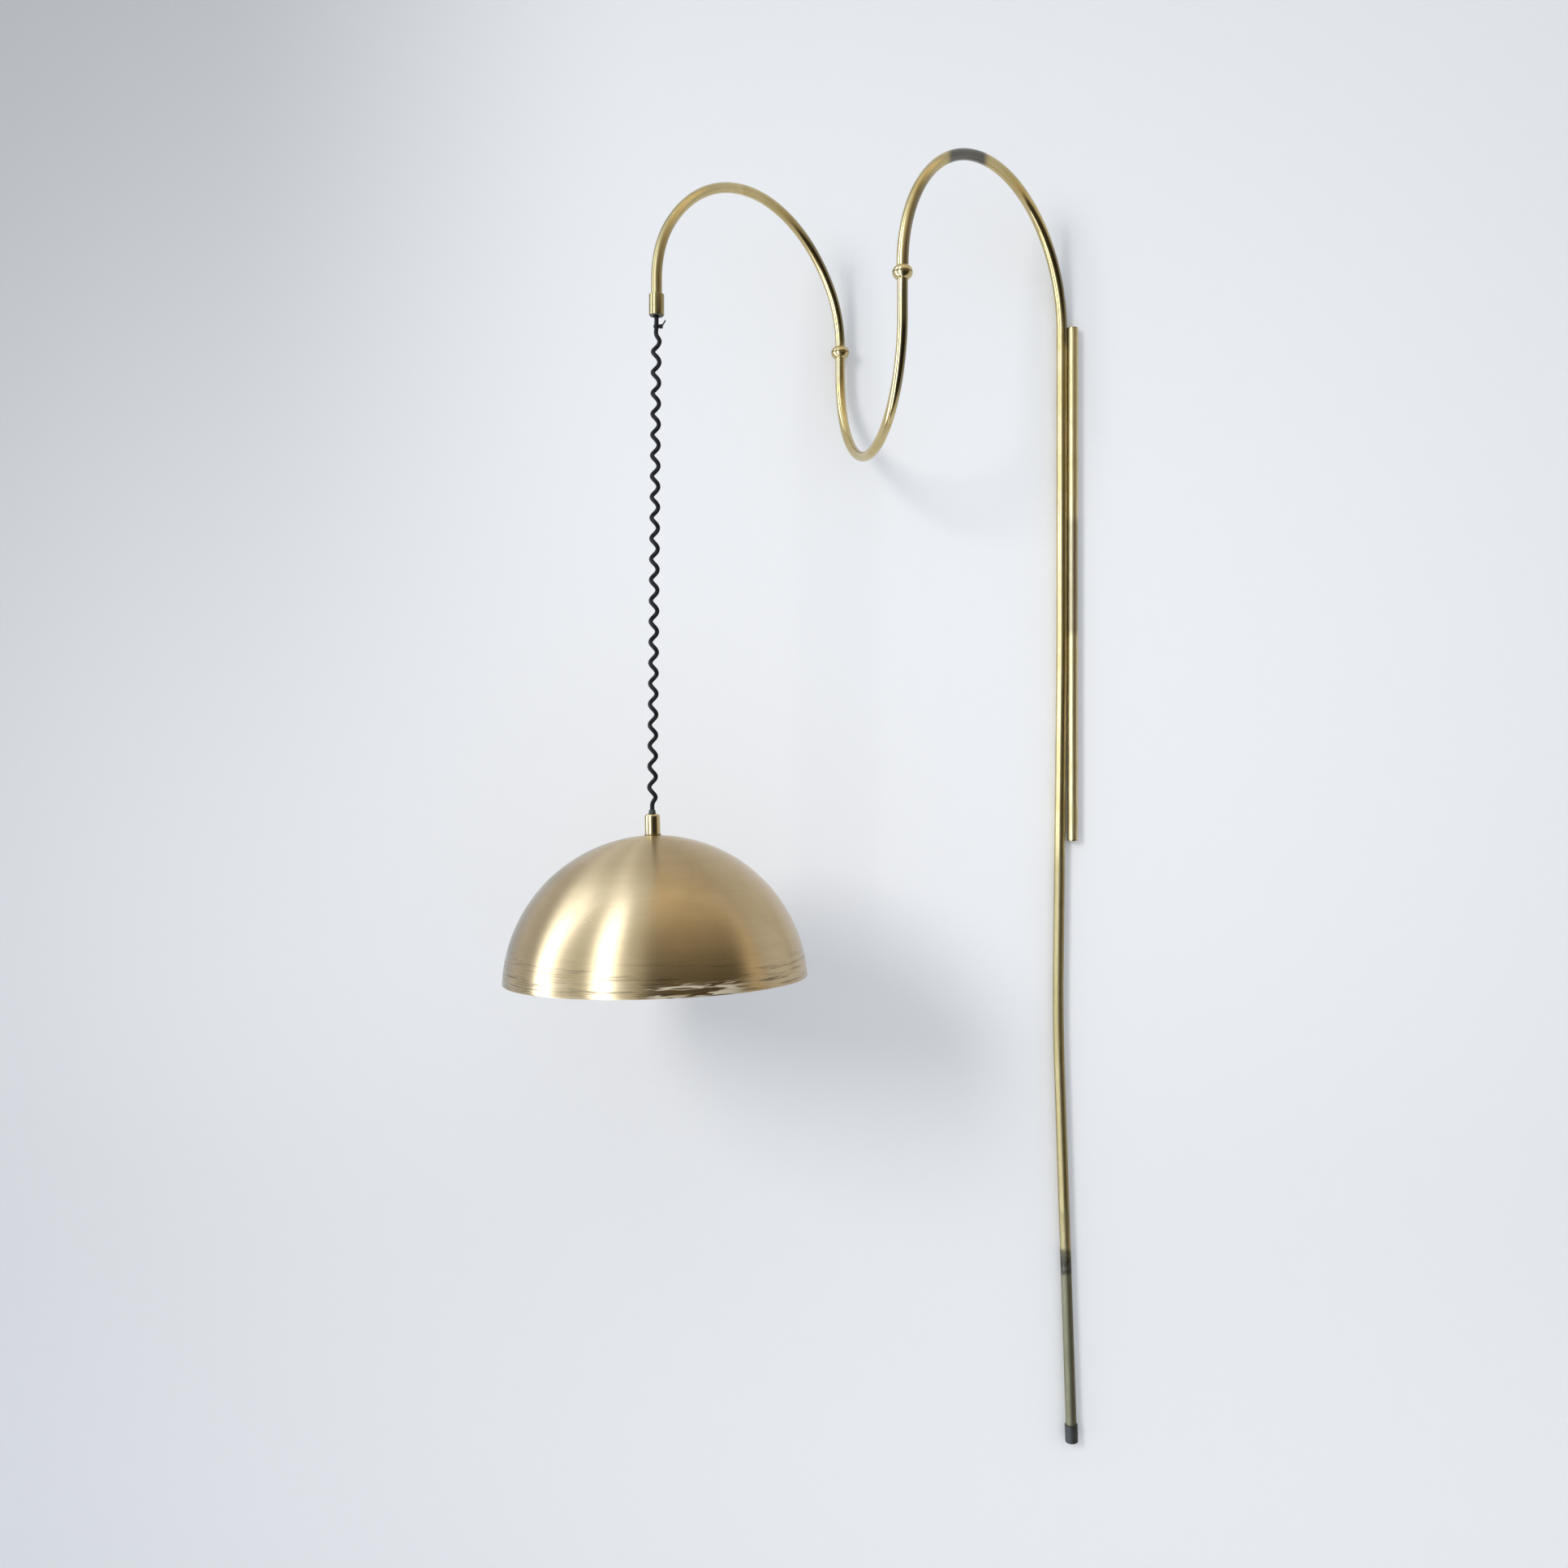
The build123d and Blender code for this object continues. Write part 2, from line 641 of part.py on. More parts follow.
def drop_point(z):
    """Point of the cord's own axis, through the ball's centre, at height z."""
    return Vector(drop_axis.X + (z - ball_z) * tan(lean), drop_axis.Y, z)


def cord_section(z):
    """Section plane through the cord's axis: x is the radius, y runs up the cord from height z."""
    return Plane(origin=drop_point(z), x_dir=(cos(lean), 0, -sin(lean)), z_dir=(0, -1, 0))


# Ball moulded on the cord's top end
ball_edge = sqrt(BALL_RADIUS**2 - CORD_RADIUS**2)
with BuildPart() as cord_ball:
    with BuildSketch(cord_section(ball_z)):
        with BuildLine():
            ThreePointArc((CORD_RADIUS, -ball_edge), (BALL_RADIUS, 0), (CORD_RADIUS, ball_edge))
            Polyline(
                (CORD_RADIUS, ball_edge),
                (0, ball_edge),
                (0, BALL_GRIP),
                (CORD_RADIUS, BALL_GRIP),
                (CORD_RADIUS, -ball_edge),
            )
        make_face()
    revolve(axis=Axis(drop_point(ball_z), cord_up))
pieces["cord_ball"] = cord_ball

# ---------------------------------------------------------------- curly cord
curl_pitch = (FIRST_CURL_Z - LAST_CURL_Z) / CURL_COUNT
curl_climb = curl_pitch / (2 * pi)


def curl_point(turn):
    """Point of the helix after a number of turns, counted down from the first curl."""
    angle = 2 * pi * turn
    centre = drop_point(FIRST_CURL_Z - curl_pitch * turn)
    return centre + Vector(CURL_RADIUS * cos(angle), CURL_RADIUS * sin(angle), 0)


def curl_tangent(turn):
    """Unit vector along the helix, going down."""
    angle = 2 * pi * turn
    sideways = Vector(-CURL_RADIUS * sin(angle), CURL_RADIUS * cos(angle), 0)
    return (sideways + down * (curl_climb / cos(lean))).normalized()


def arc_middle(start, corner, end):
    """Middle of the arc that touches start-corner and corner-end at start and end."""
    weight = cos(radians((corner - start).get_angle(end - corner) / 2))
    return (start + corner * (2 * weight) + end) / (2 + 2 * weight)


def biarc(start, start_way, end, end_way):
    """Two tangent arcs from start to end; returns the joint and the two corners."""
    chord = end - start
    both = start_way + end_way
    bend = 2 * (1 - start_way.dot(end_way))
    along = chord.dot(both)
    reach = (sqrt(along**2 + bend * chord.dot(chord)) - along) / bend
    first = start + start_way * reach
    last = end - end_way * reach
    return first, (first + last) / 2, last


cord_top = drop_point(ball_z) + cord_up * BALL_GRIP
cord_bottom = drop_point(HANG_Z + RELIEF_RISE - RELIEF_GRIP)
ease_in = drop_point(FIRST_CURL_Z + CURL_EASE)
ease_out = drop_point(LAST_CURL_Z - CURL_EASE)

# The cord's stations: off the straight run, every half turn of the helix, and back on the axis
stations = [(ease_in, down)]
for half_turn in range(2 * CURL_COUNT + 1):
    stations.append((curl_point(half_turn / 2), curl_tangent(half_turn / 2)))
stations.append((ease_out, down))

cord_points = []
arc_radii = []
with BuildPart() as curly_cord:
    with BuildLine() as cord_line:
        Line(cord_top, ease_in)
        for (start, start_way), (end, end_way) in zip(stations, stations[1:]):
            first, joint, last = biarc(start, start_way, end, end_way)
            for begin, corner, finish in ((start, first, joint), (joint, last, end)):
                arc = ThreePointArc(begin, arc_middle(begin, corner, finish), finish)
                arc_radii.append(arc.radius)
                cord_points += [arc @ 0, arc @ (1 / 3), arc @ (2 / 3)]
        Line(ease_out, cord_bottom)
    with BuildSketch(Plane(origin=cord_top, z_dir=down)):
        Circle(CORD_RADIUS)
    sweep()
pieces["curly_cord"] = curly_cord

cord_length = sum(edge.length for edge in cord_line.edges())
cord_volume = pi * CORD_RADIUS**2 * cord_length
near_neighbours = 8
least_gap = min(
    (here - there).length
    for index, here in enumerate(cord_points)
    for there in cord_points[index + near_neighbours :]
)
print(f"cord: {cord_length:.1f} mm along its line, tightest arc {min(arc_radii):.2f} mm")
print(f"cord: least gap to itself {least_gap - 2 * CORD_RADIUS:.2f} mm")
print(f"cord: volume {curly_cord.part.volume:.0f}, section x length {cord_volume:.0f} mm3")

# Cable tie on the cord's straight run, its tail cut long
tie_section = cord_section(TIE_Z)
tie_head = 2 * TIE_BAND + TIE_WIDTH
with BuildPart() as cord_tie:
    with BuildSketch(Plane(origin=drop_point(TIE_Z) + down * (TIE_WIDTH / 2), z_dir=cord_up)):
        Circle(CORD_RADIUS + TIE_BAND)
        Circle(CORD_RADIUS, mode=Mode.SUBTRACT)
    extrude(amount=TIE_WIDTH)
    with BuildSketch(tie_section.offset(-TIE_WIDTH / 2)):
        with Locations((CORD_RADIUS + TIE_BAND / 2 + tie_head / 2, 0)):
            Rectangle(tie_head, tie_head)
    extrude(amount=TIE_WIDTH)
    with BuildSketch(tie_section.offset(-TIE_BAND)):
        with BuildLine():
            tail_foot = CORD_RADIUS + TIE_BAND + tie_head / 2
            Polyline(
                (tail_foot, 0),
                (tail_foot + TIE_TAIL_OUT, TIE_TAIL_RISE),
                (tail_foot + TIE_TAIL_OUT + TIE_BAND, TIE_TAIL_RISE - TIE_BAND),
                (tail_foot + TIE_BAND, -TIE_BAND),
                close=True,
            )
        make_face()
    extrude(amount=2 * TIE_BAND)
pieces["cord_tie"] = cord_tie

# ---------------------------------------------------------------- pendant head
# The shade hangs a little askew: its axis leans in the plane of the wall
tilt = radians(SHADE_TILT)
hang_point = drop_point(HANG_Z)
head_up = Vector(-sin(tilt), 0, cos(tilt))
head_section = Plane(origin=hang_point, x_dir=(cos(tilt), 0, sin(tilt)), z_dir=(0, -1, 0))
head_axis = Axis(hang_point, head_up)


def head_plane(depth):
    """Plane across the shade's axis, at a depth below the hang point, facing down."""
    return Plane(origin=hang_point - head_up * depth, x_dir=head_section.x_dir, z_dir=-head_up)


flange_top = GRIP_LENGTH
apex_depth = flange_top + FLANGE_THICKNESS
shade_inner = apex_depth + SHADE_WALL
nut_top = shade_inner + SHADE_WASHER
neck_top = nut_top + NUT_THICKNESS
nipple_end = neck_top + NIPPLE_ENTRY
nipple_start = RELIEF_DEPTH + 2 * CORD_RADIUS

# Tapered strain relief round the cord's lower end
with BuildPart() as strain_relief:
    with BuildSketch(head_section):
        with BuildLine():
            Polyline(
                (CORD_RADIUS, RELIEF_RISE),
                (RELIEF_TIP_RADIUS, RELIEF_RISE),
                (GRIP_BORE, -GRIP_SHOULDER),
                (GRIP_BORE, -RELIEF_DEPTH),
                (LEAD_RADIUS, -RELIEF_DEPTH),
                (LEAD_RADIUS, RELIEF_RISE - RELIEF_GRIP),
                (CORD_RADIUS, RELIEF_RISE - RELIEF_GRIP),
                close=True,
            )
        make_face()
    revolve(axis=head_axis)
pieces["strain_relief"] = strain_relief

# Cord grip: a turned brass barrel with a rounded shoulder and a tapped hole in its side
screw_depth = (GRIP_SHOULDER + RELIEF_DEPTH) / 2
grip_screw_plane = Plane(origin=hang_point - head_up * screw_depth, z_dir=(0, 1, 0))
with BuildPart() as cord_grip:
    with BuildSketch(head_section):
        with BuildLine():
            shoulder = GRIP_RADIUS - GRIP_SHOULDER
            slant = GRIP_SHOULDER * sqrt(0.5)
            Polyline(
                (shoulder, 0), (GRIP_BORE, 0), (GRIP_BORE, -GRIP_LENGTH), (GRIP_RADIUS, -GRIP_LENGTH)
            )
            Line((GRIP_RADIUS, -GRIP_LENGTH), (GRIP_RADIUS, -GRIP_SHOULDER))
            ThreePointArc(
                (GRIP_RADIUS, -GRIP_SHOULDER),
                (shoulder + slant, -GRIP_SHOULDER + slant),
                (shoulder, 0),
            )
        make_face()
    revolve(axis=head_axis)
    with BuildSketch(grip_screw_plane):
        Circle(GRUB_RADIUS)
    extrude(amount=GRIP_RADIUS, mode=Mode.SUBTRACT)
pieces["cord_grip"] = cord_grip

with BuildPart() as grip_screw:
    with BuildSketch(grip_screw_plane.offset(GRIP_BORE)):
        Circle(GRUB_RADIUS)
    extrude(amount=GRIP_RADIUS - GRIP_BORE)
    with BuildSketch(grip_screw_plane.offset(GRIP_RADIUS)):
        Rectangle(2 * GRUB_RADIUS, GRUB_RADIUS / 3)
    extrude(amount=-GRUB_SINK, mode=Mode.SUBTRACT)
pieces["grip_screw"] = grip_screw

with BuildPart() as grip_flange:
    with BuildSketch(head_plane(flange_top)):
        Circle(FLANGE_RADIUS)
        Circle(GRIP_BORE, mode=Mode.SUBTRACT)
    extrude(amount=FLANGE_THICKNESS)
    chamfer(grip_flange.edges().group_by(Axis.Z)[-1].sort_by(SortBy.LENGTH)[-1], SHADE_WALL / 2)
pieces["grip_flange"] = grip_flange

# Hollow threaded nipple that holds grip, shade, nut and lampholder together
with BuildPart() as hollow_nipple:
    with BuildSketch(head_plane(nipple_start)):
        Circle(GRIP_BORE)
        Circle(NIPPLE_BORE, mode=Mode.SUBTRACT)
    extrude(amount=nipple_end - nipple_start)
pieces["hollow_nipple"] = hollow_nipple

# Spun shade: flat seat at the apex, spherical bowl, doubled hem at the rim
rim_drop = SHADE_DEPTH
seat_to_rim = SHADE_RADIUS**2 - SHADE_SEAT_RADIUS**2 + rim_drop**2
bowl_radius = hypot(seat_to_rim, 2 * SHADE_SEAT_RADIUS * rim_drop) / (2 * rim_drop)
bowl_centre = sqrt(bowl_radius**2 - SHADE_SEAT_RADIUS**2)


def bowl_at(inset, drop):
    """Point of the bowl, inset from its outer face, at a drop below the apex seat."""
    return sqrt((bowl_radius - inset) ** 2 - (bowl_centre - drop) ** 2), -(apex_depth + drop)


inner_seat = SHADE_SEAT_RADIUS - SHADE_WALL / 2
with BuildPart() as shade:
    with BuildSketch(head_section):
        with BuildLine():
            outer_rim = bowl_at(0, rim_drop)
            hem_rim = bowl_at(HEM_WALL, rim_drop)
            hem_top = bowl_at(HEM_WALL, rim_drop - HEM_WIDTH)
            hem_step = bowl_at(SHADE_WALL, rim_drop - HEM_WIDTH)
            inner_apex = bowl_at(SHADE_WALL, 2 * SHADE_WALL)
            hole = GRIP_BORE + SHADE_HOLE_CLEARANCE
            Polyline(
                (inner_seat, -shade_inner),
                (hole, -shade_inner),
                (hole, -apex_depth),
                (SHADE_SEAT_RADIUS, -apex_depth),
            )
            ThreePointArc((SHADE_SEAT_RADIUS, -apex_depth), bowl_at(0, rim_drop / 3), outer_rim)
            Line(outer_rim, hem_rim)
            ThreePointArc(hem_rim, bowl_at(HEM_WALL, rim_drop - HEM_WIDTH / 2), hem_top)
            Line(hem_top, hem_step)
            ThreePointArc(hem_step, bowl_at(SHADE_WALL, rim_drop / 3), inner_apex)
            Line(inner_apex, (inner_seat, -shade_inner))
        make_face()
    revolve(axis=head_axis)
pieces["shade"] = shade

with BuildPart() as shade_washer:
    with BuildSketch(head_plane(shade_inner)):
        Circle(inner_seat)
        Circle(GRIP_BORE, mode=Mode.SUBTRACT)
    extrude(amount=SHADE_WASHER)
pieces["shade_washer"] = shade_washer

with BuildPart() as lock_nut:
    with BuildSketch(head_plane(nut_top)):
        RegularPolygon(NUT_FLATS / 2, 6, major_radius=False)
        Circle(GRIP_BORE, mode=Mode.SUBTRACT)
    extrude(amount=NUT_THICKNESS)
pieces["lock_nut"] = lock_nut

# ---------------------------------------------------------------- lampholder
shoulder_top = neck_top + HOLDER_NECK
shoulder_foot = shoulder_top + HOLDER_SHOULDER
skirt_foot = shoulder_foot + HOLDER_SKIRT
shell_top = shoulder_foot + FIT_GAP
shell_foot = shell_top + HOLDER_SHELL_LENGTH
insulator_top = shell_top
insulator_foot = insulator_top + INSULATOR_THICKNESS
contact_foot = insulator_foot + CONTACT_HEIGHT

# Cap: tapped neck, rounded shoulder and a skirt that the shell fits into
with BuildPart() as lampholder_cap:
    with BuildSketch(head_section):
        with BuildLine():
            neck = HOLDER_NECK_RADIUS
            Polyline(
                (neck, -shoulder_top),
                (neck, -neck_top),
                (GRIP_BORE, -neck_top),
                (GRIP_BORE, -(shoulder_top + HOLDER_WALL)),
                (neck, -(shoulder_top + HOLDER_WALL)),
                (HOLDER_RADIUS - HOLDER_WALL, -shoulder_foot),
                (HOLDER_RADIUS - HOLDER_WALL, -skirt_foot),
                (HOLDER_RADIUS, -skirt_foot),
                (HOLDER_RADIUS, -shoulder_foot),
            )
            ThreePointArc(
                (HOLDER_RADIUS, -shoulder_foot),
                (
                    neck + (HOLDER_RADIUS - neck) * sqrt(0.5),
                    HOLDER_SHOULDER * sqrt(0.5) - shoulder_foot,
                ),
                (neck, -shoulder_top),
            )
        make_face()
    revolve(axis=head_axis)
pieces["lampholder_cap"] = lampholder_cap

# Shell: a thin barrel inside the cap's skirt, rolled outwards at its mouth
shell_r = HOLDER_RADIUS - HOLDER_WALL - FIT_GAP
with BuildPart() as lampholder_shell:
    with BuildSketch(head_section):
        with BuildLine():
            Polyline(
                (shell_r, -shell_top),
                (shell_r - HOLDER_WALL, -shell_top),
                (shell_r - HOLDER_WALL, -shell_foot),
                (HOLDER_RADIUS, -shell_foot),
                (HOLDER_RADIUS, -(shell_foot - 2 * HOLDER_WALL)),
                (shell_r, -(shell_foot - 3 * HOLDER_WALL)),
                close=True,
            )
        make_face()
    revolve(axis=head_axis)
pieces["lampholder_shell"] = lampholder_shell

# Insulator block with the hole that the lead comes through
insulator_r = shell_r - HOLDER_WALL
with BuildPart() as lampholder_insulator:
    with BuildSketch(head_plane(insulator_top)):
        Circle(insulator_r)
        Circle(LEAD_RADIUS, mode=Mode.SUBTRACT)
    extrude(amount=INSULATOR_THICKNESS / 2)
    with BuildSketch(head_plane(insulator_top + INSULATOR_THICKNESS / 2)):
        Circle(insulator_r)
    extrude(amount=INSULATOR_THICKNESS / 2)
pieces["lampholder_insulator"] = lampholder_insulator

with BuildPart() as lampholder_screw_shell:
    with BuildSketch(head_plane(insulator_foot)):
        Circle(SCREW_SHELL_RADIUS + SCREW_SHELL_WALL)
        Circle(SCREW_SHELL_RADIUS, mode=Mode.SUBTRACT)
    extrude(amount=SCREW_SHELL_LENGTH)
pieces["lampholder_screw_shell"] = lampholder_screw_shell

with BuildPart() as centre_contact:
    with BuildSketch(head_plane(insulator_foot)):
        Circle(CONTACT_RADIUS)
    extrude(amount=CONTACT_HEIGHT)
    chamfer(centre_contact.faces().sort_by(Axis.Z)[0].edges(), CONTACT_HEIGHT / 3)
pieces["centre_contact"] = centre_contact

lead_top = RELIEF_GRIP - RELIEF_RISE + 2 * FIT_GAP
with BuildPart() as lampholder_lead:
    with BuildSketch(head_plane(lead_top)):
        Circle(LEAD_RADIUS)
    extrude(amount=insulator_top + INSULATOR_THICKNESS / 2 - lead_top)
pieces["lampholder_lead"] = lampholder_lead

# ---------------------------------------------------------------- bulb
cap_top = contact_foot
cap_foot = cap_top + BULB_CAP_LENGTH
glass_foot = cap_top + BULB_LENGTH
bulb_centre = glass_foot - BULB_RADIUS
tip_foot = cap_top + BULB_TIP

# Screw cap with its solder tip
with BuildPart() as bulb_cap:
    with BuildSketch(head_section):
        with BuildLine():
            Polyline(
                (0, -cap_top),
                (BULB_TIP_RADIUS, -cap_top),
                (BULB_TIP_RADIUS, -tip_foot),
                (BULB_CAP_RADIUS, -(tip_foot + 2 * BULB_TIP)),
                (BULB_CAP_RADIUS, -cap_foot),
                (0, -cap_foot),
                close=True,
            )
        make_face()
    revolve(axis=head_axis)
pieces["bulb_cap"] = bulb_cap

# Opal glass envelope: round below, drawn in to a neck at the cap, hollow
neck_reach = bulb_centre - cap_foot


def envelope(inset):
    """Neck, tangent join, side and foot of the envelope's outline, inset from its outer face."""
    radius = BULB_RADIUS - inset
    neck_radius = BULB_NECK_RADIUS - inset
    lift = asin(radius / hypot(neck_radius, neck_reach)) - atan2(neck_radius, neck_reach)
    join = (radius * cos(lift), radius * sin(lift) - bulb_centre)
    side = (radius * sqrt(0.5), -radius * sqrt(0.5) - bulb_centre)
    return (neck_radius, -cap_foot), join, side, (0, -radius - bulb_centre)


with BuildPart() as bulb_glass:
    with BuildSketch(head_section):
        with BuildLine():
            neck_out, join_out, side_out, foot_out = envelope(0)
            neck_in, join_in, side_in, foot_in = envelope(BULB_WALL)
            Line(neck_out, join_out)
            ThreePointArc(join_out, side_out, foot_out)
            Line(foot_out, foot_in)
            ThreePointArc(foot_in, side_in, join_in)
            Polyline(join_in, neck_in, neck_out)
        make_face()
    revolve(axis=head_axis)
pieces["bulb_glass"] = bulb_glass

# ---------------------------------------------------------------- labels and files
for name, piece in pieces.items():
    piece.part.label = name
    export_step(piece.part, f"parts/{name}.step")

print(f"pieces: {len(pieces)}")
print(f"inner swivel axis: {inner_axis.X:.3f}, {inner_axis.Y:.3f}")
print(f"outer swivel axis: {outer_axis.X:.3f}, {outer_axis.Y:.3f}")
print(f"drop axis: {drop_axis.X:.3f}, {drop_axis.Y:.3f}, ball centre z {ball_z:.3f}")
print(f"inlet axis through {tail_point(TAIL_END_Z)}, along {tail_direction}")
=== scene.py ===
import json
from math import asin, atan2, cos, hypot, pi, radians, sin, sqrt, tan

import bmesh
import bpy
from mathutils import Matrix, Vector


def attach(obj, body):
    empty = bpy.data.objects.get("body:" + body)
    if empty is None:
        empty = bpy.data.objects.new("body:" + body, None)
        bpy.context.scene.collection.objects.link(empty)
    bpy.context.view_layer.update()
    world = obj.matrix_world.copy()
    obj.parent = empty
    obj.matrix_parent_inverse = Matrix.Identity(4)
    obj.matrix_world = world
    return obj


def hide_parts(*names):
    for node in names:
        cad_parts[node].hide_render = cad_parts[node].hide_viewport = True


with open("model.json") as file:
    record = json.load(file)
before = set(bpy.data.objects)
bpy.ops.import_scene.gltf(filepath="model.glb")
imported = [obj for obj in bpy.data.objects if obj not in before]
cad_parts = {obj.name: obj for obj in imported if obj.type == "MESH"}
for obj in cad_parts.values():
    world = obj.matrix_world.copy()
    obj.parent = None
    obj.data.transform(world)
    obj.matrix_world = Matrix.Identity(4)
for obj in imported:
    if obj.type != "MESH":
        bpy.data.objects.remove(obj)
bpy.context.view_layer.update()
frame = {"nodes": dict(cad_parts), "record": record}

NODES = frame["nodes"]
SLOTS = {row["node"]: row["material_slot"] for row in frame["record"]["subparts"]}
MM = 0.001
UP = Vector((0, 0, 1))


def new_object(name, data):
    """A new object, linked to the scene."""
    thing = bpy.data.objects.new(name, data)
    bpy.context.scene.collection.objects.link(thing)
    return thing


# ---------------------------------------------------------------- camera
LENS, SENSOR = 34.47, 36.0
CAMERA_PLACE = (-0.3252, -2.0517, -0.2657)
CAMERA_PITCH, CAMERA_YAW = -0.12, 1.83

camera_data = bpy.data.cameras.new("camera")
camera_data.lens = LENS
camera_data.sensor_width = SENSOR
camera = new_object("camera", camera_data)
camera.location = CAMERA_PLACE
camera.rotation_euler = (radians(90 + CAMERA_PITCH), 0, radians(CAMERA_YAW))
bpy.context.scene.camera = camera

# ---------------------------------------------------------------- places, as in the part
STEM_R, STEM_BORE = 7.15 * MM, 5.95 * MM
ARM_R, ARM_BORE = 6.35 * MM, 5.35 * MM
WALL_TUBE_R, WALL_TUBE_BORE = 7.15 * MM, 5.95 * MM
WALL_TUBE_HALF = 345 * MM
TUBE_Y = -8.65 * MM
STEM_X = -14.4 * MM
INNER_ARCH_R, INNER_ARCH_HEADING = 177.3 * MM, 50.0
LINK_R, LINK_HEADING, LINK_SPRING = 134.5 * MM, -74.5, 281.5 * MM
OUTER_SPAN, OUTER_RISE = 352.6 * MM, 152.5 * MM
OUTER_SIDE_R, OUTER_HEADING = 125.5 * MM, 52.2
INNER_SWIVEL, OUTER_SWIVEL = 332.5 * MM, 312.5 * MM
ARCH_LEG = 8.5 * MM
TUBE_SEAT = 4.6 * MM
BALL_Z = 287.5 * MM
ARM_END = 293.5 * MM
TAIL_END, TAIL_LEAN_Z, TAIL_BOW_Z = -1157 * MM, -90 * MM, -587 * MM
TAIL_LEAN, TAIL_RETURN = radians(0.6), radians(1.9)
TAIL_LEAN_R, TAIL_BOW_R = 6.0, 3.0


def heading(angle):
    """Unit vector in plan, turned from -X away from the wall."""
    return Vector((-cos(radians(angle)), -sin(radians(angle)), 0))


def at_height(point, z):
    return Vector((point.x, point.y, z))


stem_top = Vector((STEM_X, TUBE_Y, 0))
inner_axis = stem_top + heading(INNER_ARCH_HEADING) * (2 * INNER_ARCH_R)
outer_axis = inner_axis + heading(LINK_HEADING) * (2 * LINK_R)
drop_axis = outer_axis + heading(OUTER_HEADING) * OUTER_SPAN

# ---------------------------------------------------------------- curly cord
CORD_R = 2.6 * MM
CORD_LEAN = radians(0.5)
CORD_TOP, CORD_FOOT = 290.5 * MM, -302.5 * MM
CURL_R = 3.81 * MM
CURLS, CURL_POINTS = 22, 16
FIRST_CURL, LAST_CURL = 248.8 * MM, -284.7 * MM
EASE = 14 * MM
EASE_TURN, EASE_R = 0.3, 0.45 * CURL_R


def drop_point(z):
    """Point of the hanging cord's axis at height z: it leans a little, its foot towards -X."""
    return Vector((drop_axis.x + (z - BALL_Z) * tan(CORD_LEAN), drop_axis.y, z))


def curl(turn, radius):
    """Point of the helix, turns counted down from the first curl."""
    angle = 2 * pi * turn
    z = FIRST_CURL - (FIRST_CURL - LAST_CURL) * turn / CURLS
    return drop_point(z) + Vector((radius * cos(angle), radius * sin(angle), 0))


straight_heights = (CORD_TOP, CORD_TOP - EASE, FIRST_CURL + 1.5 * EASE, FIRST_CURL + EASE)
cord_points = [drop_point(z) for z in straight_heights]
cord_points.append(curl(-EASE_TURN, EASE_R))
cord_points += [curl(i / CURL_POINTS, CURL_R) for i in range(-1, CURLS * CURL_POINTS + 2)]
cord_points.append(curl(CURLS + EASE_TURN, EASE_R))
cord_points += [drop_point(z) for z in (LAST_CURL - EASE, CORD_FOOT)]
cord_data = bpy.data.curves.new("curly_cord_line", "CURVE")
cord_data.dimensions = "3D"
cord_data.resolution_u = 3
cord_data.bevel_depth = CORD_R
cord_data.bevel_resolution = 5
cord_data.use_fill_caps = True
spline = cord_data.splines.new("NURBS")
spline.points.add(len(cord_points) - 1)
for place, point in zip(spline.points, cord_points):
    place.co = (*point, 1)
spline.order_u = 3
spline.use_endpoint_u = True
cord = new_object("curly_flex", cord_data)

# ---------------------------------------------------------------- mesh helpers
SHARP_ANGLE = radians(32)
PROFILE_STEP = 12.0


def rounded(points, radii, turn_step):
    """The polyline with its inner corners turned into arcs, sampled every turn_step degrees."""
    line = [points[0]]
    for before, here, after, radius in zip(points, points[1:], points[2:], radii):
        back, on = (before - here).normalized(), (after - here).normalized()
        turn = pi - back.angle(on)
        if radius <= 0 or turn < 1e-6:
            line.append(here)
            continue
        reach = radius * tan(turn / 2)
        centre = here + (back + on).normalized() * (radius / cos(turn / 2))
        start, end = here + back * reach, here + on * reach
        axis = (start - centre).cross(end - centre).normalized()
        steps = max(2, round(turn / radians(turn_step)))
        for i in range(steps + 1):
            line.append(centre + Matrix.Rotation(turn * i / steps, 3, axis) @ (start - centre))
    line.append(points[-1])
    return line


def arc(centre, start, turn, axis, steps):
    """Points from start round centre, the first left out."""
    return [
        centre + Matrix.Rotation(turn * i / steps, 3, axis) @ (start - centre)
        for i in range(1, steps + 1)
    ]


def finished(name, verts, faces, uvs):
    """A smooth-shaded mesh object with its texture coordinates, sharp at its real corners."""
    mesh = bpy.data.meshes.new(name)
    mesh.from_pydata([tuple(v) for v in verts], [], faces)
    layer = mesh.uv_layers.new(name="UVMap")
    layer.data.foreach_set("uv", [c for uv in uvs for c in uv])
    mesh.polygons.foreach_set("use_smooth", [True] * len(mesh.polygons))
    mesh.set_sharp_from_angle(angle=SHARP_ANGLE)
    mesh.update()
    return new_object(name, mesh)


def add_face(faces, uvs, corners, segments):
    """Adds a face, its corners given as (vertex, step round, run along)."""
    faces.append([c[0] for c in corners])
    uvs += [(c[1] / segments, c[2]) for c in corners]


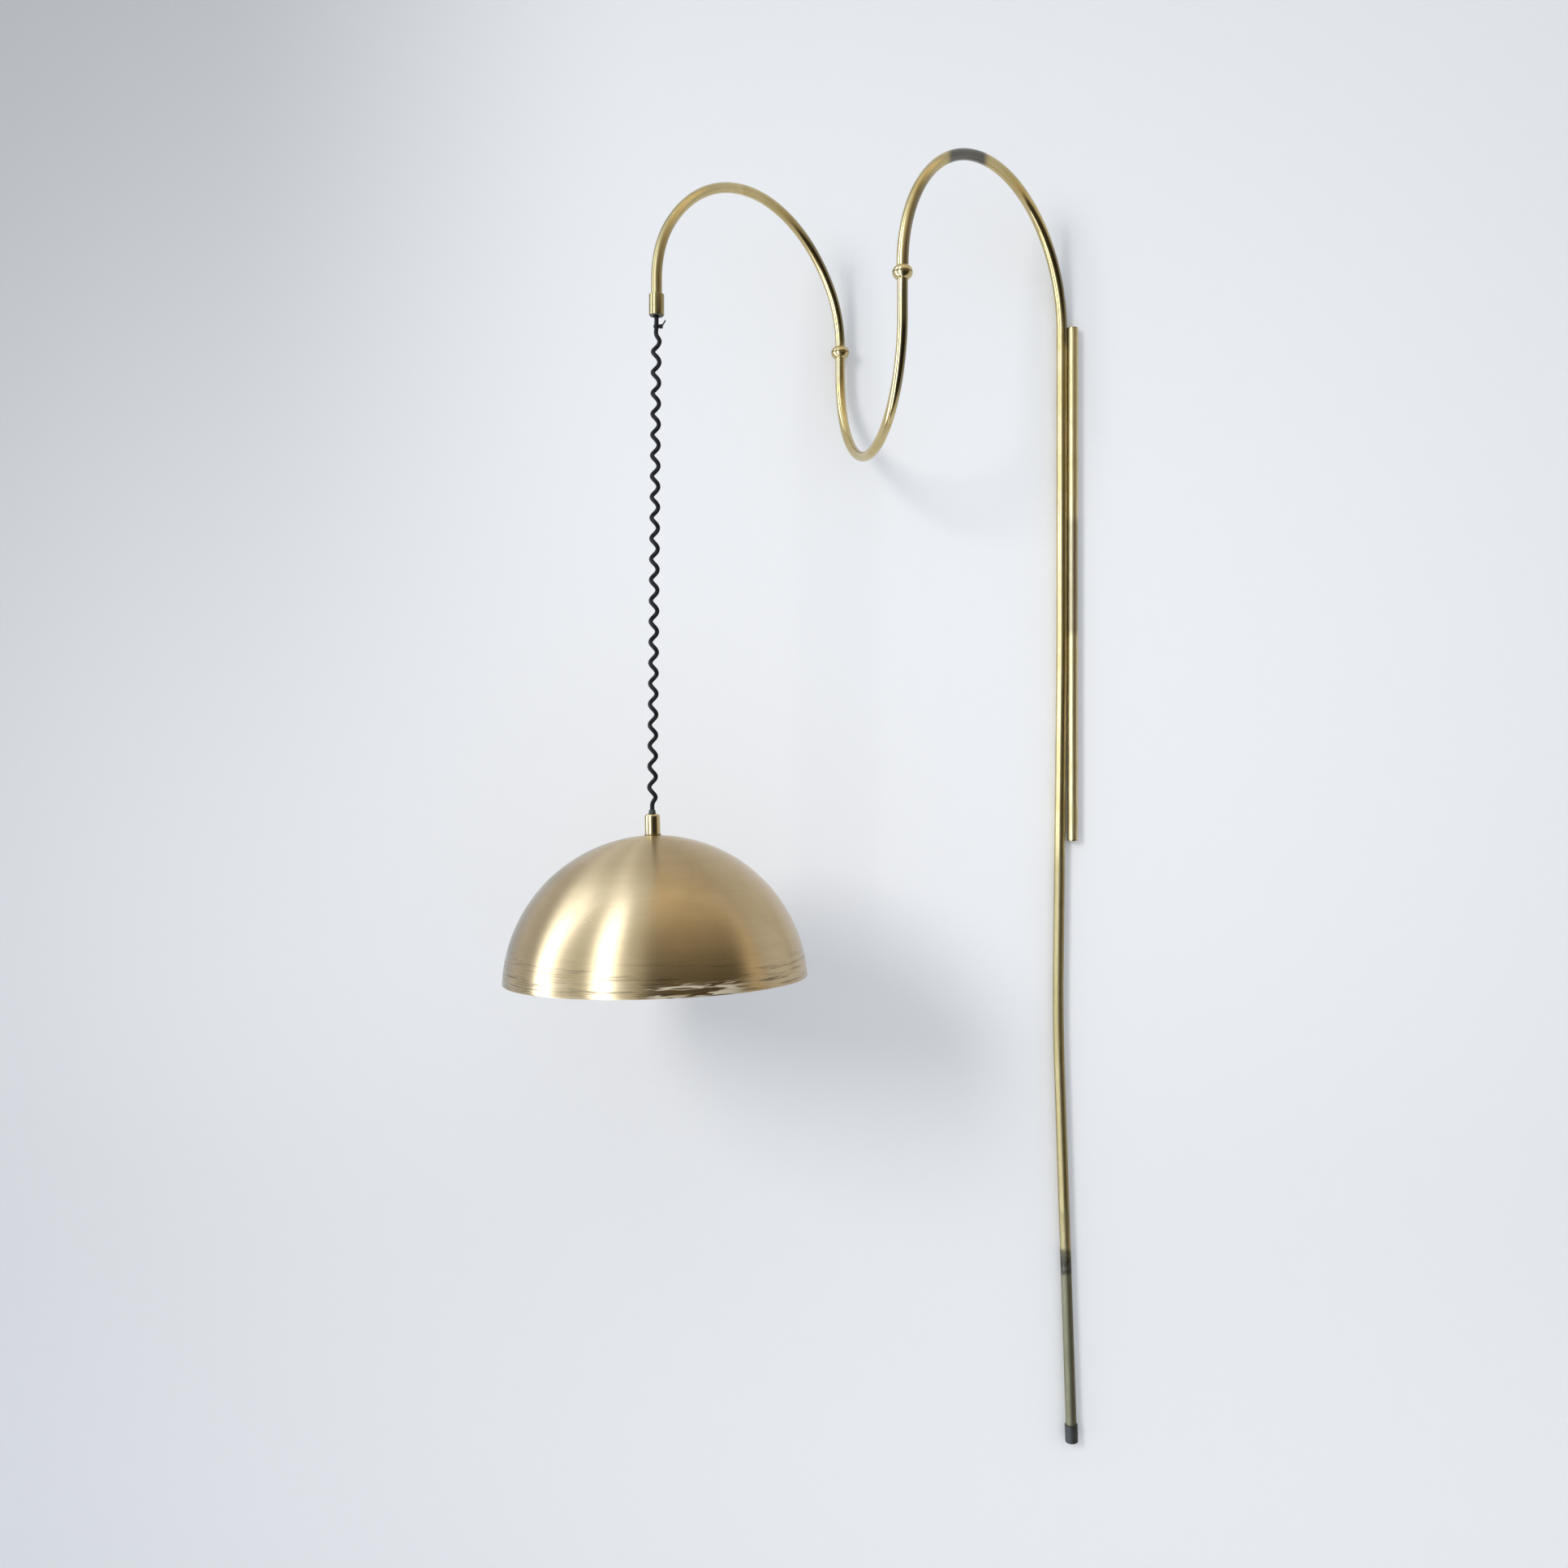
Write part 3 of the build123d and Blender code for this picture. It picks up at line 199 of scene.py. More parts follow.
def lathe(name, profile, foot, axis=UP, segments=96):
    """Turns a closed profile of (radius, height) round an axis through foot."""
    axis = axis.normalized()
    across = Vector((1, 0, 0)) - axis * axis.x
    across.normalize()
    beside = axis.cross(across)
    runs = [0.0]
    for (r0, h0), (r1, h1) in zip(profile, profile[1:] + profile[:1]):
        runs.append(runs[-1] + hypot(r1 - r0, h1 - h0))
    verts, rows = [], []
    for radius, height in profile:
        if radius < 1e-7:
            rows.append([len(verts)] * segments)
            verts.append(foot + axis * height)
            continue
        row = []
        for k in range(segments):
            angle = 2 * pi * k / segments
            row.append(len(verts))
            out = across * cos(angle) + beside * sin(angle)
            verts.append(foot + axis * height + out * radius)
        rows.append(row)
    faces, uvs = [], []
    for i, low in enumerate(rows):
        high = rows[(i + 1) % len(rows)]
        if low[0] == low[1] and high[0] == high[1]:
            continue
        for k in range(segments):
            n = (k + 1) % segments
            corners = [
                (low[k], k, runs[i]), (low[n], k + 1, runs[i]),
                (high[n], k + 1, runs[i + 1]), (high[k], k, runs[i + 1]),
            ]
            kept = []
            for corner in corners:
                if all(corner[0] != other[0] for other in kept):
                    kept.append(corner)
            add_face(faces, uvs, kept, segments)
    return finished(name, verts, faces, uvs)


def sweep(name, line, radius, bore, segments=48):
    """A tube along a line of points, open through its bore."""
    line = [p for i, p in enumerate(line) if i == 0 or (p - line[i - 1]).length > 1e-6]
    ways = [(b - a).normalized() for a, b in zip(line, line[1:])]
    tangents = [ways[0]] + [(a + b).normalized() for a, b in zip(ways, ways[1:])] + [ways[-1]]
    side = Vector((0, 1, 0)) - tangents[0] * tangents[0].y
    side.normalize()
    verts, rows, runs = [], [], [0.0]
    for i, (point, way) in enumerate(zip(line, tangents)):
        if i:
            side = (tangents[i - 1].rotation_difference(way) @ side).normalized()
            runs.append(runs[-1] + (point - line[i - 1]).length)
        other = way.cross(side)
        rows.append(len(verts))
        for size in (radius, bore):
            for k in range(segments):
                angle = 2 * pi * k / segments
                verts.append(point + (side * cos(angle) + other * sin(angle)) * size)
    strips = []
    for i in range(len(line) - 1):
        for shift, flip in ((0, False), (segments, True)):
            strips.append((rows[i] + shift, rows[i + 1] + shift, runs[i], runs[i + 1], flip))
    for row, run, flip in ((rows[0], runs[0], True), (rows[-1], runs[-1], False)):
        strips.append((row, row + segments, run, run + radius - bore, flip))
    faces, uvs = [], []
    for low, high, low_run, high_run, flip in strips:
        for k in range(segments):
            n = (k + 1) % segments
            corners = [
                (low + k, k, low_run), (low + n, k + 1, low_run),
                (high + n, k + 1, high_run), (high + k, k, high_run),
            ]
            add_face(faces, uvs, corners[::-1] if flip else corners, segments)
    return finished(name, verts, faces, uvs)


def profile_2d(points, radii):
    """A closed profile with rounded corners: one radius for each point, 0 for a sharp one."""
    count = len(points)
    flat = [Vector((r, h, 0)) for r, h in points]
    out = []
    for i in range(count):
        if radii[i] <= 0:
            out.append((flat[i].x, flat[i].y))
            continue
        trio = rounded([flat[i - 1], flat[i], flat[(i + 1) % count]], [radii[i]], PROFILE_STEP)
        out += [(p.x, p.y) for p in trio[1:-1]]
    return out


def mirrored(outline, side):
    """The profile as it is for side 1, upside down for side -1."""
    return [(r, side * h) for r, h in outline]


# ---------------------------------------------------------------- shader helpers
def new_material(name, colour, metallic, roughness, **sockets):
    material = bpy.data.materials.new(name)
    material.use_nodes = True
    tree = material.node_tree
    shader = tree.nodes["Principled BSDF"]
    shader.inputs["Base Color"].default_value = (*colour, 1)
    shader.inputs["Metallic"].default_value = metallic
    shader.inputs["Roughness"].default_value = roughness
    for socket, value in sockets.items():
        shader.inputs[socket.replace("_", " ")].default_value = value
    return material, tree, shader


def add(tree, kind, **settings):
    node = tree.nodes.new("ShaderNode" + kind)
    for key, value in settings.items():
        if key in node.inputs:
            node.inputs[key].default_value = value
        else:
            setattr(node, key, value)
    return node


def coordinates(tree, source, scale=(1, 1, 1)):
    """Object or UV coordinates stretched by a scale."""
    texture = add(tree, "TexCoord")
    mapping = add(tree, "Mapping")
    mapping.inputs["Scale"].default_value = scale
    tree.links.new(texture.outputs[source], mapping.inputs["Vector"])
    return mapping.outputs["Vector"]


def parts(tree, vector):
    """The X, Y and Z of a vector."""
    split = add(tree, "SeparateXYZ")
    tree.links.new(vector, split.inputs[0])
    return split.outputs


def noise(tree, vector, scale, detail, rough, distortion=0.0):
    node = add(tree, "TexNoise", Scale=scale, Detail=detail, Roughness=rough, Distortion=distortion)
    tree.links.new(vector, node.inputs["Vector"])
    return node.outputs["Fac"]


def ranged(tree, value, low, high, to_low, to_high, smooth=False):
    """A value between low and high, taken to a value between to_low and to_high."""
    node = add(tree, "MapRange")
    node.interpolation_type = "SMOOTHSTEP" if smooth else "LINEAR"
    numbers = {"From Min": low, "From Max": high, "To Min": to_low, "To Max": to_high}
    for socket, number in numbers.items():
        node.inputs[socket].default_value = number
    tree.links.new(value, node.inputs["Value"])
    return node.outputs["Result"]


def mixed(tree, factor, first, second):
    """Colour between two colours or sockets."""
    node = add(tree, "Mix", data_type="RGBA")
    tree.links.new(factor, node.inputs["Factor"])
    for socket, colour in (("A", first), ("B", second)):
        target = [s for s in node.inputs if s.name == socket and s.type == "RGBA"][0]
        if isinstance(colour, tuple):
            target.default_value = (*colour, 1)
        else:
            tree.links.new(colour, target)
    return [s for s in node.outputs if s.type == "RGBA"][0]


def product(tree, first, second, operation="MULTIPLY"):
    """The product of a socket and a socket or number, or what another operation makes of them."""
    node = add(tree, "Math", operation=operation)
    tree.links.new(first, node.inputs[0])
    if isinstance(second, float):
        node.inputs[1].default_value = second
    else:
        tree.links.new(second, node.inputs[1])
    return node.outputs[0]


def total(tree, first, second):
    return product(tree, first, second, "ADD")


def greater(tree, first, second):
    return product(tree, first, second, "MAXIMUM")


def fade(tree, value, start, full):
    """0 before start and 1 past full, soft between; start may be the greater."""
    return ranged(tree, value, start, full, 0, 1, True)


def span(tree, value, start, full, ending, end):
    """1 between full and ending, 0 outside start and end, soft between."""
    return product(tree, fade(tree, value, start, full), fade(tree, value, end, ending))


def bumped(tree, shader, height, strength, distance):
    node = add(tree, "Bump", Strength=strength, Distance=distance)
    tree.links.new(height, node.inputs["Height"])
    tree.links.new(node.outputs["Normal"], shader.inputs["Normal"])


# ---------------------------------------------------------------- ageing of the tubes, and painted reflections on them
# Stretches in metres, up or across: where each starts, is full, starts to end and has ended
WALL_TUBE_REFLECTION = (0.095, 0.08, -0.06, -0.075)
TAIL_GREY = (-0.85, -0.93)
TAIL_MARK = (-0.893, -0.901, -0.932, -0.94)
CROWN_REFLECTION, CROWN_HEIGHT = (-0.187, -0.178, -0.137, -0.126), (0.42, 0.46)
DULL_STEM = (-0.3, -0.42, -0.85, -0.93)
FREE_LEG, FREE_LEG_TOP = (-0.49, -0.515), (0.42, 0.36)
ARCH_SIDE, ARCH_FOOT = (-0.43, -0.39), (0.315, 0.33)
INNER_LEG, INNER_LEG_FOOT = (-0.285, -0.265, -0.16, -0.12), (0.17, 0.21)
LEG_TOP = (0.48, 0.43)

# The next colour is a painted dark reflection in the middle of the wall tube.
MIDDLE_REFLECTION_GREY = (0.27, 0.225, 0.165)
TAIL_BRASS = (0.145, 0.14, 0.095)
MARK_BLACK = (0.035, 0.032, 0.032)
# The next colour is a painted dark reflection on the inner arch's crown.
CROWN_REFLECTION_GREY = (0.075, 0.08, 0.085)
DULL_BRASS = (0.25, 0.2, 0.095)
# The next colour is a painted dark reflection on the legs' right-hand side.
LEG_DARK_REFLECTION = (0.09, 0.083, 0.065)


def wall_tube_middle_reflection(tree, places, colour, polish, *_noises):
    """A greyer stretch in the middle of the wall tube: a painted dark reflection."""
    grey = product(tree, span(tree, parts(tree, places)["Z"], *WALL_TUBE_REFLECTION), 0.55)
    return mixed(tree, grey, colour, MIDDLE_REFLECTION_GREY), polish


def aged_and_shaded_tubes(tree, places, colour, polish, haze, stains):
    """The wear of the stem, the link and the arches, whose places are those of the lamp, and
    painted dark reflections on them.
    """
    place = parts(tree, places)
    across, up = place["X"], place["Z"]
    # The tail is dull and grey towards the floor, with a dark mark across it
    wavy = total(tree, up, ranged(tree, haze, 0.3, 0.7, -0.04, 0.04))
    low = fade(tree, wavy, *TAIL_GREY)
    colour = mixed(tree, product(tree, low, 0.88), colour, TAIL_BRASS)
    polish = total(tree, polish, product(tree, low, 0.3))
    edge = total(tree, up, ranged(tree, haze, 0.3, 0.7, -0.008, 0.008))
    mark = span(tree, edge, *TAIL_MARK)
    mark = product(tree, mark, ranged(tree, stains, 0.38, 0.52, 0.45, 0.85, True))
    colour = mixed(tree, mark, colour, MARK_BLACK)
    # The stem's straight run is a little rougher, and a painted dark reflection crosses the inner
    # arch's crown
    run = product(
        tree, ranged(tree, across, -0.06, -0.03, 0, 0.14), ranged(tree, up, 0.42, 0.32, 0, 1)
    )
    polish = total(tree, polish, run)
    painted_crown_reflection = product(
        tree, span(tree, across, *CROWN_REFLECTION), ranged(tree, up, *CROWN_HEIGHT, 0, 0.88, True)
    )
    colour = mixed(tree, painted_crown_reflection, colour, CROWN_REFLECTION_GREY)
    # The stem below the wall tube and the outer arch's free leg are duller
    free_leg = product(tree, fade(tree, across, *FREE_LEG), fade(tree, up, *FREE_LEG_TOP))
    dull = greater(tree, span(tree, up, *DULL_STEM), free_leg)
    colour = mixed(tree, product(tree, dull, 0.7), colour, DULL_BRASS)
    polish = total(tree, polish, product(tree, dull, 0.14))
    # Painted dark reflection: the legs of the arches and the link's inner leg are darker on their
    # right-hand side
    arches = product(tree, fade(tree, across, *ARCH_SIDE), fade(tree, up, *ARCH_FOOT))
    inner_leg = product(tree, span(tree, across, *INNER_LEG), fade(tree, up, *INNER_LEG_FOOT))
    legs = product(tree, greater(tree, arches, inner_leg), fade(tree, up, *LEG_TOP))
    faces_right = parts(tree, add(tree, "TexCoord").outputs["Normal"])["X"]
    more = product(tree, inner_leg, ranged(tree, up, 0.34, 0.3, 0, 0.45, True))
    shady = ranged(tree, total(tree, faces_right, more), -0.08, 0.4, 0, 0.72, True)
    return mixed(tree, product(tree, legs, shady), colour, LEG_DARK_REFLECTION), polish


# ---------------------------------------------------------------- materials
def brass(name, bright, deep, smooth, rough, lines, source="UV", wear_and_shade=None):
    """Drawn or turned brass: hazy patches, faint drawing lines along the tube, small stains; a
    given function adds wear and painted reflections.
    """
    material, tree, shader = new_material(name, bright, 1.0, smooth, Anisotropic=0.25)
    places = coordinates(tree, "Object")
    haze = noise(tree, places, scale=14, detail=5, rough=0.6, distortion=0.4)
    stains = noise(tree, places, scale=120, detail=3, rough=0.6, distortion=0.8)
    drawn = noise(tree, coordinates(tree, source, lines), scale=1.0, detail=3, rough=0.6)
    colour = mixed(tree, fade(tree, haze, 0.35, 0.7), bright, deep)
    spots = ranged(tree, stains, 0.64, 0.8, 0, 0.22, True)
    colour = mixed(tree, spots, colour, tuple(0.55 * c for c in deep))
    polish = ranged(tree, total(tree, haze, drawn), 0.7, 1.3, smooth, rough)
    if wear_and_shade:
        colour, polish = wear_and_shade(tree, places, colour, polish, haze, stains)
    tree.links.new(colour, shader.inputs["Base Color"])
    tree.links.new(polish, shader.inputs["Roughness"])
    bumped(tree, shader, drawn, strength=0.15, distance=0.00001)
    return material


# The shade's colours, its worn places and its painted dark reflection on the left: heights in
# metres, and ways round it from its right-hand side, where 0.5 is the left and 0.75 the front
SPUN_BRIGHT, SPUN_DEEP = (0.54, 0.41, 0.24), (0.46, 0.345, 0.19)
SPUN_DARK_REFLECTION, SPUN_SCUFF, SPUN_BARE = (0.17, 0.15, 0.1), (0.13, 0.095, 0.055), (0.74, 0.66, 0.5)
SCUFFED_RIM = (-0.44, -0.492)
DARK_REFLECTION_SIDE = (0.38, 0.43, 0.56, 0.6)
BARE_FRONT, BARE_RIGHT, BARE_HEIGHT = (0.75, 0.775), (0.87, 0.84), (-0.477, -0.484)


def spun_brass(name):
    """Spun and brushed brass: fine rings round the shade, worn and scuffed towards its rim, with a
    painted dark reflection on its left side.
    """
    material, tree, shader = new_material(
        name, (0.50, 0.38, 0.22), 1.0, 0.3, Anisotropic=0.92, Anisotropic_Rotation=0.25
    )
    tangent = add(tree, "Tangent", direction_type="UV_MAP", uv_map="UVMap")
    tree.links.new(tangent.outputs[0], shader.inputs["Tangent"])
    places = coordinates(tree, "Object")
    up = parts(tree, places)["Z"]
    way_round = parts(tree, add(tree, "TexCoord").outputs["UV"])["X"]

    def round_shade(stretch, detail, rough, distortion=0.0):
        """Noise drawn out round the shade."""
        return noise(tree, coordinates(tree, "UV", stretch), 1.0, detail, rough, distortion)

    rings = round_shade((5, 900, 1), detail=4, rough=0.7)
    bands = round_shade((2, 90, 1), detail=3, rough=0.5)
    scuffs = round_shade((14, 260, 1), detail=5, rough=0.75, distortion=0.3)
    patches = round_shade((17, 150, 1), detail=3, rough=0.7, distortion=0.4)
    haze = noise(tree, places, scale=9, detail=4, rough=0.55, distortion=0.5)
    tone = ranged(tree, total(tree, haze, product(tree, bands, 0.4)), 0.5, 0.95, 0, 1)
    colour = mixed(tree, tone, SPUN_BRIGHT, SPUN_DEEP)
    # Painted dark reflection on the shade's left side, stronger towards the rim
    left_reflection = product(tree, span(tree, way_round, *DARK_REFLECTION_SIDE), 0.55)
    left_reflection = product(tree, left_reflection, ranged(tree, up, -0.38, -0.46, 0.8, 1.3, True))
    colour = mixed(tree, left_reflection, colour, SPUN_DARK_REFLECTION)
    worn = ranged(tree, scuffs, 0.5, 0.64, 0, 0.85, True)
    worn = product(tree, worn, fade(tree, up, *SCUFFED_RIM))
    colour = mixed(tree, worn, colour, SPUN_SCUFF)
    # Bare patches just above the rim, most of them right of the front
    side = product(
        tree,
        ranged(tree, way_round, *BARE_FRONT, 0.12, 1, True),
        ranged(tree, way_round, *BARE_RIGHT, 0.12, 1, True),
    )
    bare = product(tree, fade(tree, patches, 0.47, 0.56), side)
    bare = product(tree, bare, ranged(tree, up, *BARE_HEIGHT, 0, 0.9, True))
    colour = mixed(tree, bare, colour, SPUN_BARE)
    tree.links.new(colour, shader.inputs["Base Color"])
    tree.links.new(ranged(tree, bare, 0, 1, 1, 0.3), shader.inputs["Metallic"])
    rough = ranged(tree, total(tree, product(tree, rings, 0.4), haze), 0.5, 0.95, 0.26, 0.38)
    rough = total(tree, rough, product(tree, worn, 0.12))
    rough = total(tree, rough, product(tree, bare, 0.3))
    tree.links.new(rough, shader.inputs["Roughness"])
    relief = total(tree, rings, product(tree, worn, 1.5))
    bumped(tree, shader, relief, strength=0.2, distance=0.00002)
    return material


def plain_surface(name, colour, metallic, roughness, spread, scale, depth, **sockets):
    """Moulded, rubber or plated surface: tone uneven by spread in patches, and a grain of depth."""
    material, tree, shader = new_material(name, colour, metallic, roughness, **sockets)
    places = coordinates(tree, "Object")
    patches = noise(tree, places, scale, detail=4, rough=0.6, distortion=0.3)
    grain = noise(tree, places, scale * 22, detail=3, rough=0.6)
    lighter = tuple(min(1.0, c * (1 + spread) + 0.004) for c in colour)
    darker = tuple(c * (1 - spread) for c in colour)
    tone = fade(tree, patches, 0.3, 0.7)
    tree.links.new(mixed(tree, tone, darker, lighter), shader.inputs["Base Color"])
    gloss = ranged(tree, patches, 0.3, 0.7, roughness * 0.8, min(1.0, roughness * 1.25))
    tree.links.new(gloss, shader.inputs["Roughness"])
    bumped(tree, shader, grain, strength=0.3, distance=depth)
    return material


DRAWN, TURNED, WALL_TUBE_DRAWN = (220, 5, 1), (3, 2400, 1), (700, 700, 5)
MATERIALS = {
    "brass_tube": brass(
        "tube_brass", (0.585, 0.475, 0.245), (0.475, 0.37, 0.165), 0.12, 0.22, DRAWN, wear_and_shade=aged_and_shaded_tubes
    ),
    "brass_turned": brass(
        "turned_brass", (0.55, 0.455, 0.25), (0.45, 0.355, 0.17), 0.12, 0.22, TURNED
    ),
    "brass_shade": spun_brass("spun_shade_brass"),
    "brass_fitting": brass(
        "fitting_brass", (0.47, 0.36, 0.18), (0.38, 0.27, 0.11), 0.24, 0.4, DRAWN
    ),
    "steel": plain_surface("zinc_steel", (0.46, 0.47, 0.47), 1.0, 0.34, 0.1, 60, 0.00002),
    "black_rubber": plain_surface(
        "black_rubber", (0.022, 0.022, 0.021), 0.0, 0.55, 0.3, 80, 0.00005
    ),
    "black_cord": plain_surface(
        "black_flex", (0.006, 0.006, 0.007), 0.0, 0.55, 0.2, 90, 0.00003, Specular_IOR_Level=0.18
    ),
    "lead_sheath": plain_surface("grey_sheath", (0.10, 0.10, 0.10), 0.0, 0.5, 0.2, 90, 0.00004),
    "nylon": plain_surface("dark_nylon", (0.05, 0.042, 0.036), 0.0, 0.42, 0.2, 120, 0.00003),
    "phenolic": plain_surface("phenolic", (0.045, 0.03, 0.022), 0.0, 0.3, 0.25, 70, 0.00003),
    "opal_glass": plain_surface("opal_glass", (0.86, 0.85, 0.81), 0.0, 0.2, 0.03, 30, 0.00001),
    "cap_metal": plain_surface("nickel_cap", (0.55, 0.55, 0.54), 1.0, 0.28, 0.08, 90, 0.00002),
}
sleeve_brass = brass("sleeve_brass", (0.33, 0.265, 0.135), (0.27, 0.21, 0.095), 0.2, 0.32, TURNED)
flange_brass = brass("flange_brass", (0.24, 0.185, 0.1), (0.17, 0.125, 0.06), 0.28, 0.42, TURNED)
wall_tube_brass = brass(
    "wall_tube_brass", (0.67, 0.56, 0.32), (0.58, 0.47, 0.24), 0.36, 0.48, WALL_TUBE_DRAWN,
    source="Object", wear_and_shade=wall_tube_middle_reflection,
)
for name, node in NODES.items():
    node.data.materials.clear()
    look = wall_tube_brass if name == "wall_tube" else MATERIALS[SLOTS[name]]
    node.data.materials.append(look)


def placed(piece, body, *nodes, look=None):
    """Gives a piece its body and the material of the first node's slot, and hides the nodes it
    stands for.

    A look is a material of the piece's own, used instead.
    """
    slot = SLOTS[nodes[0]]
    piece.data.materials.append(look or MATERIALS[slot])
    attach(piece, body)
    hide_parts(*nodes)
    return piece


# ---------------------------------------------------------------- tubes
def half_circle(start, way, radius, up):
    """Half a circle from start along way, rising for up 1 and dipping for up -1."""
    axis = way.cross(UP) * -up
    return arc(start + way * radius, start, pi, axis, 96)


def basket_line(start, way):
    """Three-centred arch: a side arc, the flatter crown and the other side arc."""
    half = OUTER_SPAN / 2
    gap = half - OUTER_SIDE_R
    drop = (gap ** 2 - (OUTER_RISE - OUTER_SIDE_R) ** 2) / (2 * (OUTER_RISE - OUTER_SIDE_R))
    crown_half = atan2(gap, drop)
    axis = -way.cross(UP)
    side_turn = pi / 2 - crown_half
    line = arc(start + way * OUTER_SIDE_R, start, side_turn, axis, 40)
    crown_centre = start + way * half - UP * drop
    line += arc(crown_centre, line[-1], 2 * crown_half, axis, 48)
    line += arc(start + way * (OUTER_SPAN - OUTER_SIDE_R), line[-1], side_turn, axis, 40)
    return line


TAIL_STEP = 0.1
tail_way = Vector((sin(TAIL_RETURN), 0, -cos(TAIL_RETURN)))
lean_point = Vector((STEM_X, TUBE_Y, TAIL_LEAN_Z))
bow_x = STEM_X - (TAIL_LEAN_Z - TAIL_BOW_Z) * tan(TAIL_LEAN)
bow_point = Vector((bow_x, TUBE_Y, TAIL_BOW_Z))
tail_end = bow_point + tail_way * ((bow_point.z - TAIL_END) / -tail_way.z)
inner_spring = at_height(stem_top, INNER_SWIVEL + ARCH_LEG)
stem_corners = [tail_end, bow_point, lean_point, inner_spring]
stem_line = rounded(stem_corners, [TAIL_BOW_R, TAIL_LEAN_R], TAIL_STEP)
stem_line += half_circle(inner_spring, heading(INNER_ARCH_HEADING), INNER_ARCH_R, 1)
stem_line.append(at_height(inner_axis, INNER_SWIVEL + TUBE_SEAT))
placed(sweep("stem", stem_line, STEM_R, STEM_BORE), "wall_stem", "stem_tube")

link_start = at_height(inner_axis, LINK_SPRING)
link_line = [at_height(inner_axis, INNER_SWIVEL - TUBE_SEAT), link_start]
link_line += half_circle(link_start, heading(LINK_HEADING), LINK_R, -1)
link_line.append(at_height(outer_axis, OUTER_SWIVEL - TUBE_SEAT))
placed(sweep("u_link_tube", link_line, ARM_R, ARM_BORE), "u_link", "u_tube")

outer_spring = at_height(outer_axis, OUTER_SWIVEL + ARCH_LEG)
outer_line = [at_height(outer_axis, OUTER_SWIVEL + TUBE_SEAT), outer_spring]
outer_line += basket_line(outer_spring, heading(OUTER_HEADING))
outer_line.append(at_height(drop_axis, ARM_END))
placed(sweep("outer_arch", outer_line, ARM_R, ARM_BORE), "outer_arm", "outer_arch_tube")

# ---------------------------------------------------------------- shade
HANG = drop_point(-304.5 * MM)
TILT = radians(1.3)
head_up = Vector((-sin(TILT), 0, cos(TILT)))
GRIP_LENGTH, FLANGE = 23.6 * MM, 1.5 * MM
APEX = GRIP_LENGTH + FLANGE
RIM_R, DEPTH, WALL, SEAT_R = 177.5 * MM, 166.8 * MM, 0.9 * MM, 11.5 * MM
HEM, HEM_WALL, HOLE_R = 5 * MM, 1.8 * MM, 5.2 * MM
SHADE_SEGMENTS, OUTSIDE_STEPS, INSIDE_STEPS = 256, 90, 60
seat_to_rim = RIM_R ** 2 - SEAT_R ** 2 + DEPTH ** 2
bowl_r = hypot(seat_to_rim, 2 * SEAT_R * DEPTH) / (2 * DEPTH)
bowl_centre = sqrt(bowl_r ** 2 - SEAT_R ** 2)


def bowl(inset, drop):
    """Point of the bowl's profile at a drop below its seat, inset from its outside."""
    return sqrt((bowl_r - inset) ** 2 - (bowl_centre - drop) ** 2), -(APEX + drop)


def bowl_run(inset, first, last, steps):
    """Even steps round the bowl between two drops below its seat."""
    size = bowl_r - inset
    low, high = asin((bowl_centre - first) / size), asin((bowl_centre - last) / size)
    angles = [low + (high - low) * i / steps for i in range(steps + 1)]
    return [(size * cos(a), size * sin(a) - bowl_centre - APEX) for a in angles]


shade_profile = [(HOLE_R, -APEX), (SEAT_R - 0.4 * MM, -APEX)]
shade_profile += bowl_run(0, 0.05 * MM, DEPTH - 0.5 * MM, OUTSIDE_STEPS)
rim_out, rim_in = bowl(0, DEPTH), bowl(HEM_WALL, DEPTH)
shade_profile += [
    (rim_out[0] - 0.25 * MM, rim_out[1]), (rim_in[0] + 0.4 * MM, rim_in[1]),
    bowl(HEM_WALL, DEPTH - 0.5 * MM), bowl(HEM_WALL, DEPTH - HEM + 0.4 * MM),
    bowl(WALL + 0.45 * MM, DEPTH - HEM), bowl(WALL, DEPTH - HEM - 0.1 * MM),
]
shade_profile += bowl_run(WALL, DEPTH - HEM - 0.5 * MM, 2 * WALL, INSIDE_STEPS)
shade_profile += [(SEAT_R - WALL / 2, -(APEX + WALL)), (HOLE_R, -(APEX + WALL))]
shade = lathe("dome_shade", shade_profile, HANG, head_up, SHADE_SEGMENTS)
placed(shade, "pendant", "shade")

# ---------------------------------------------------------------- swivel beads
BEAD_R, BEAD_HALF, SLIT = 12.2 * MM, 8.2 * MM, 0.4 * MM
BULGE, LIP, SOFT = 4.6 * MM, 0.9 * MM, 0.5 * MM
STUD_HOLE, STUD_SEAT = 4.05 * MM, 4 * MM
BELLY_STEPS, FULLNESS = 12, 0.6


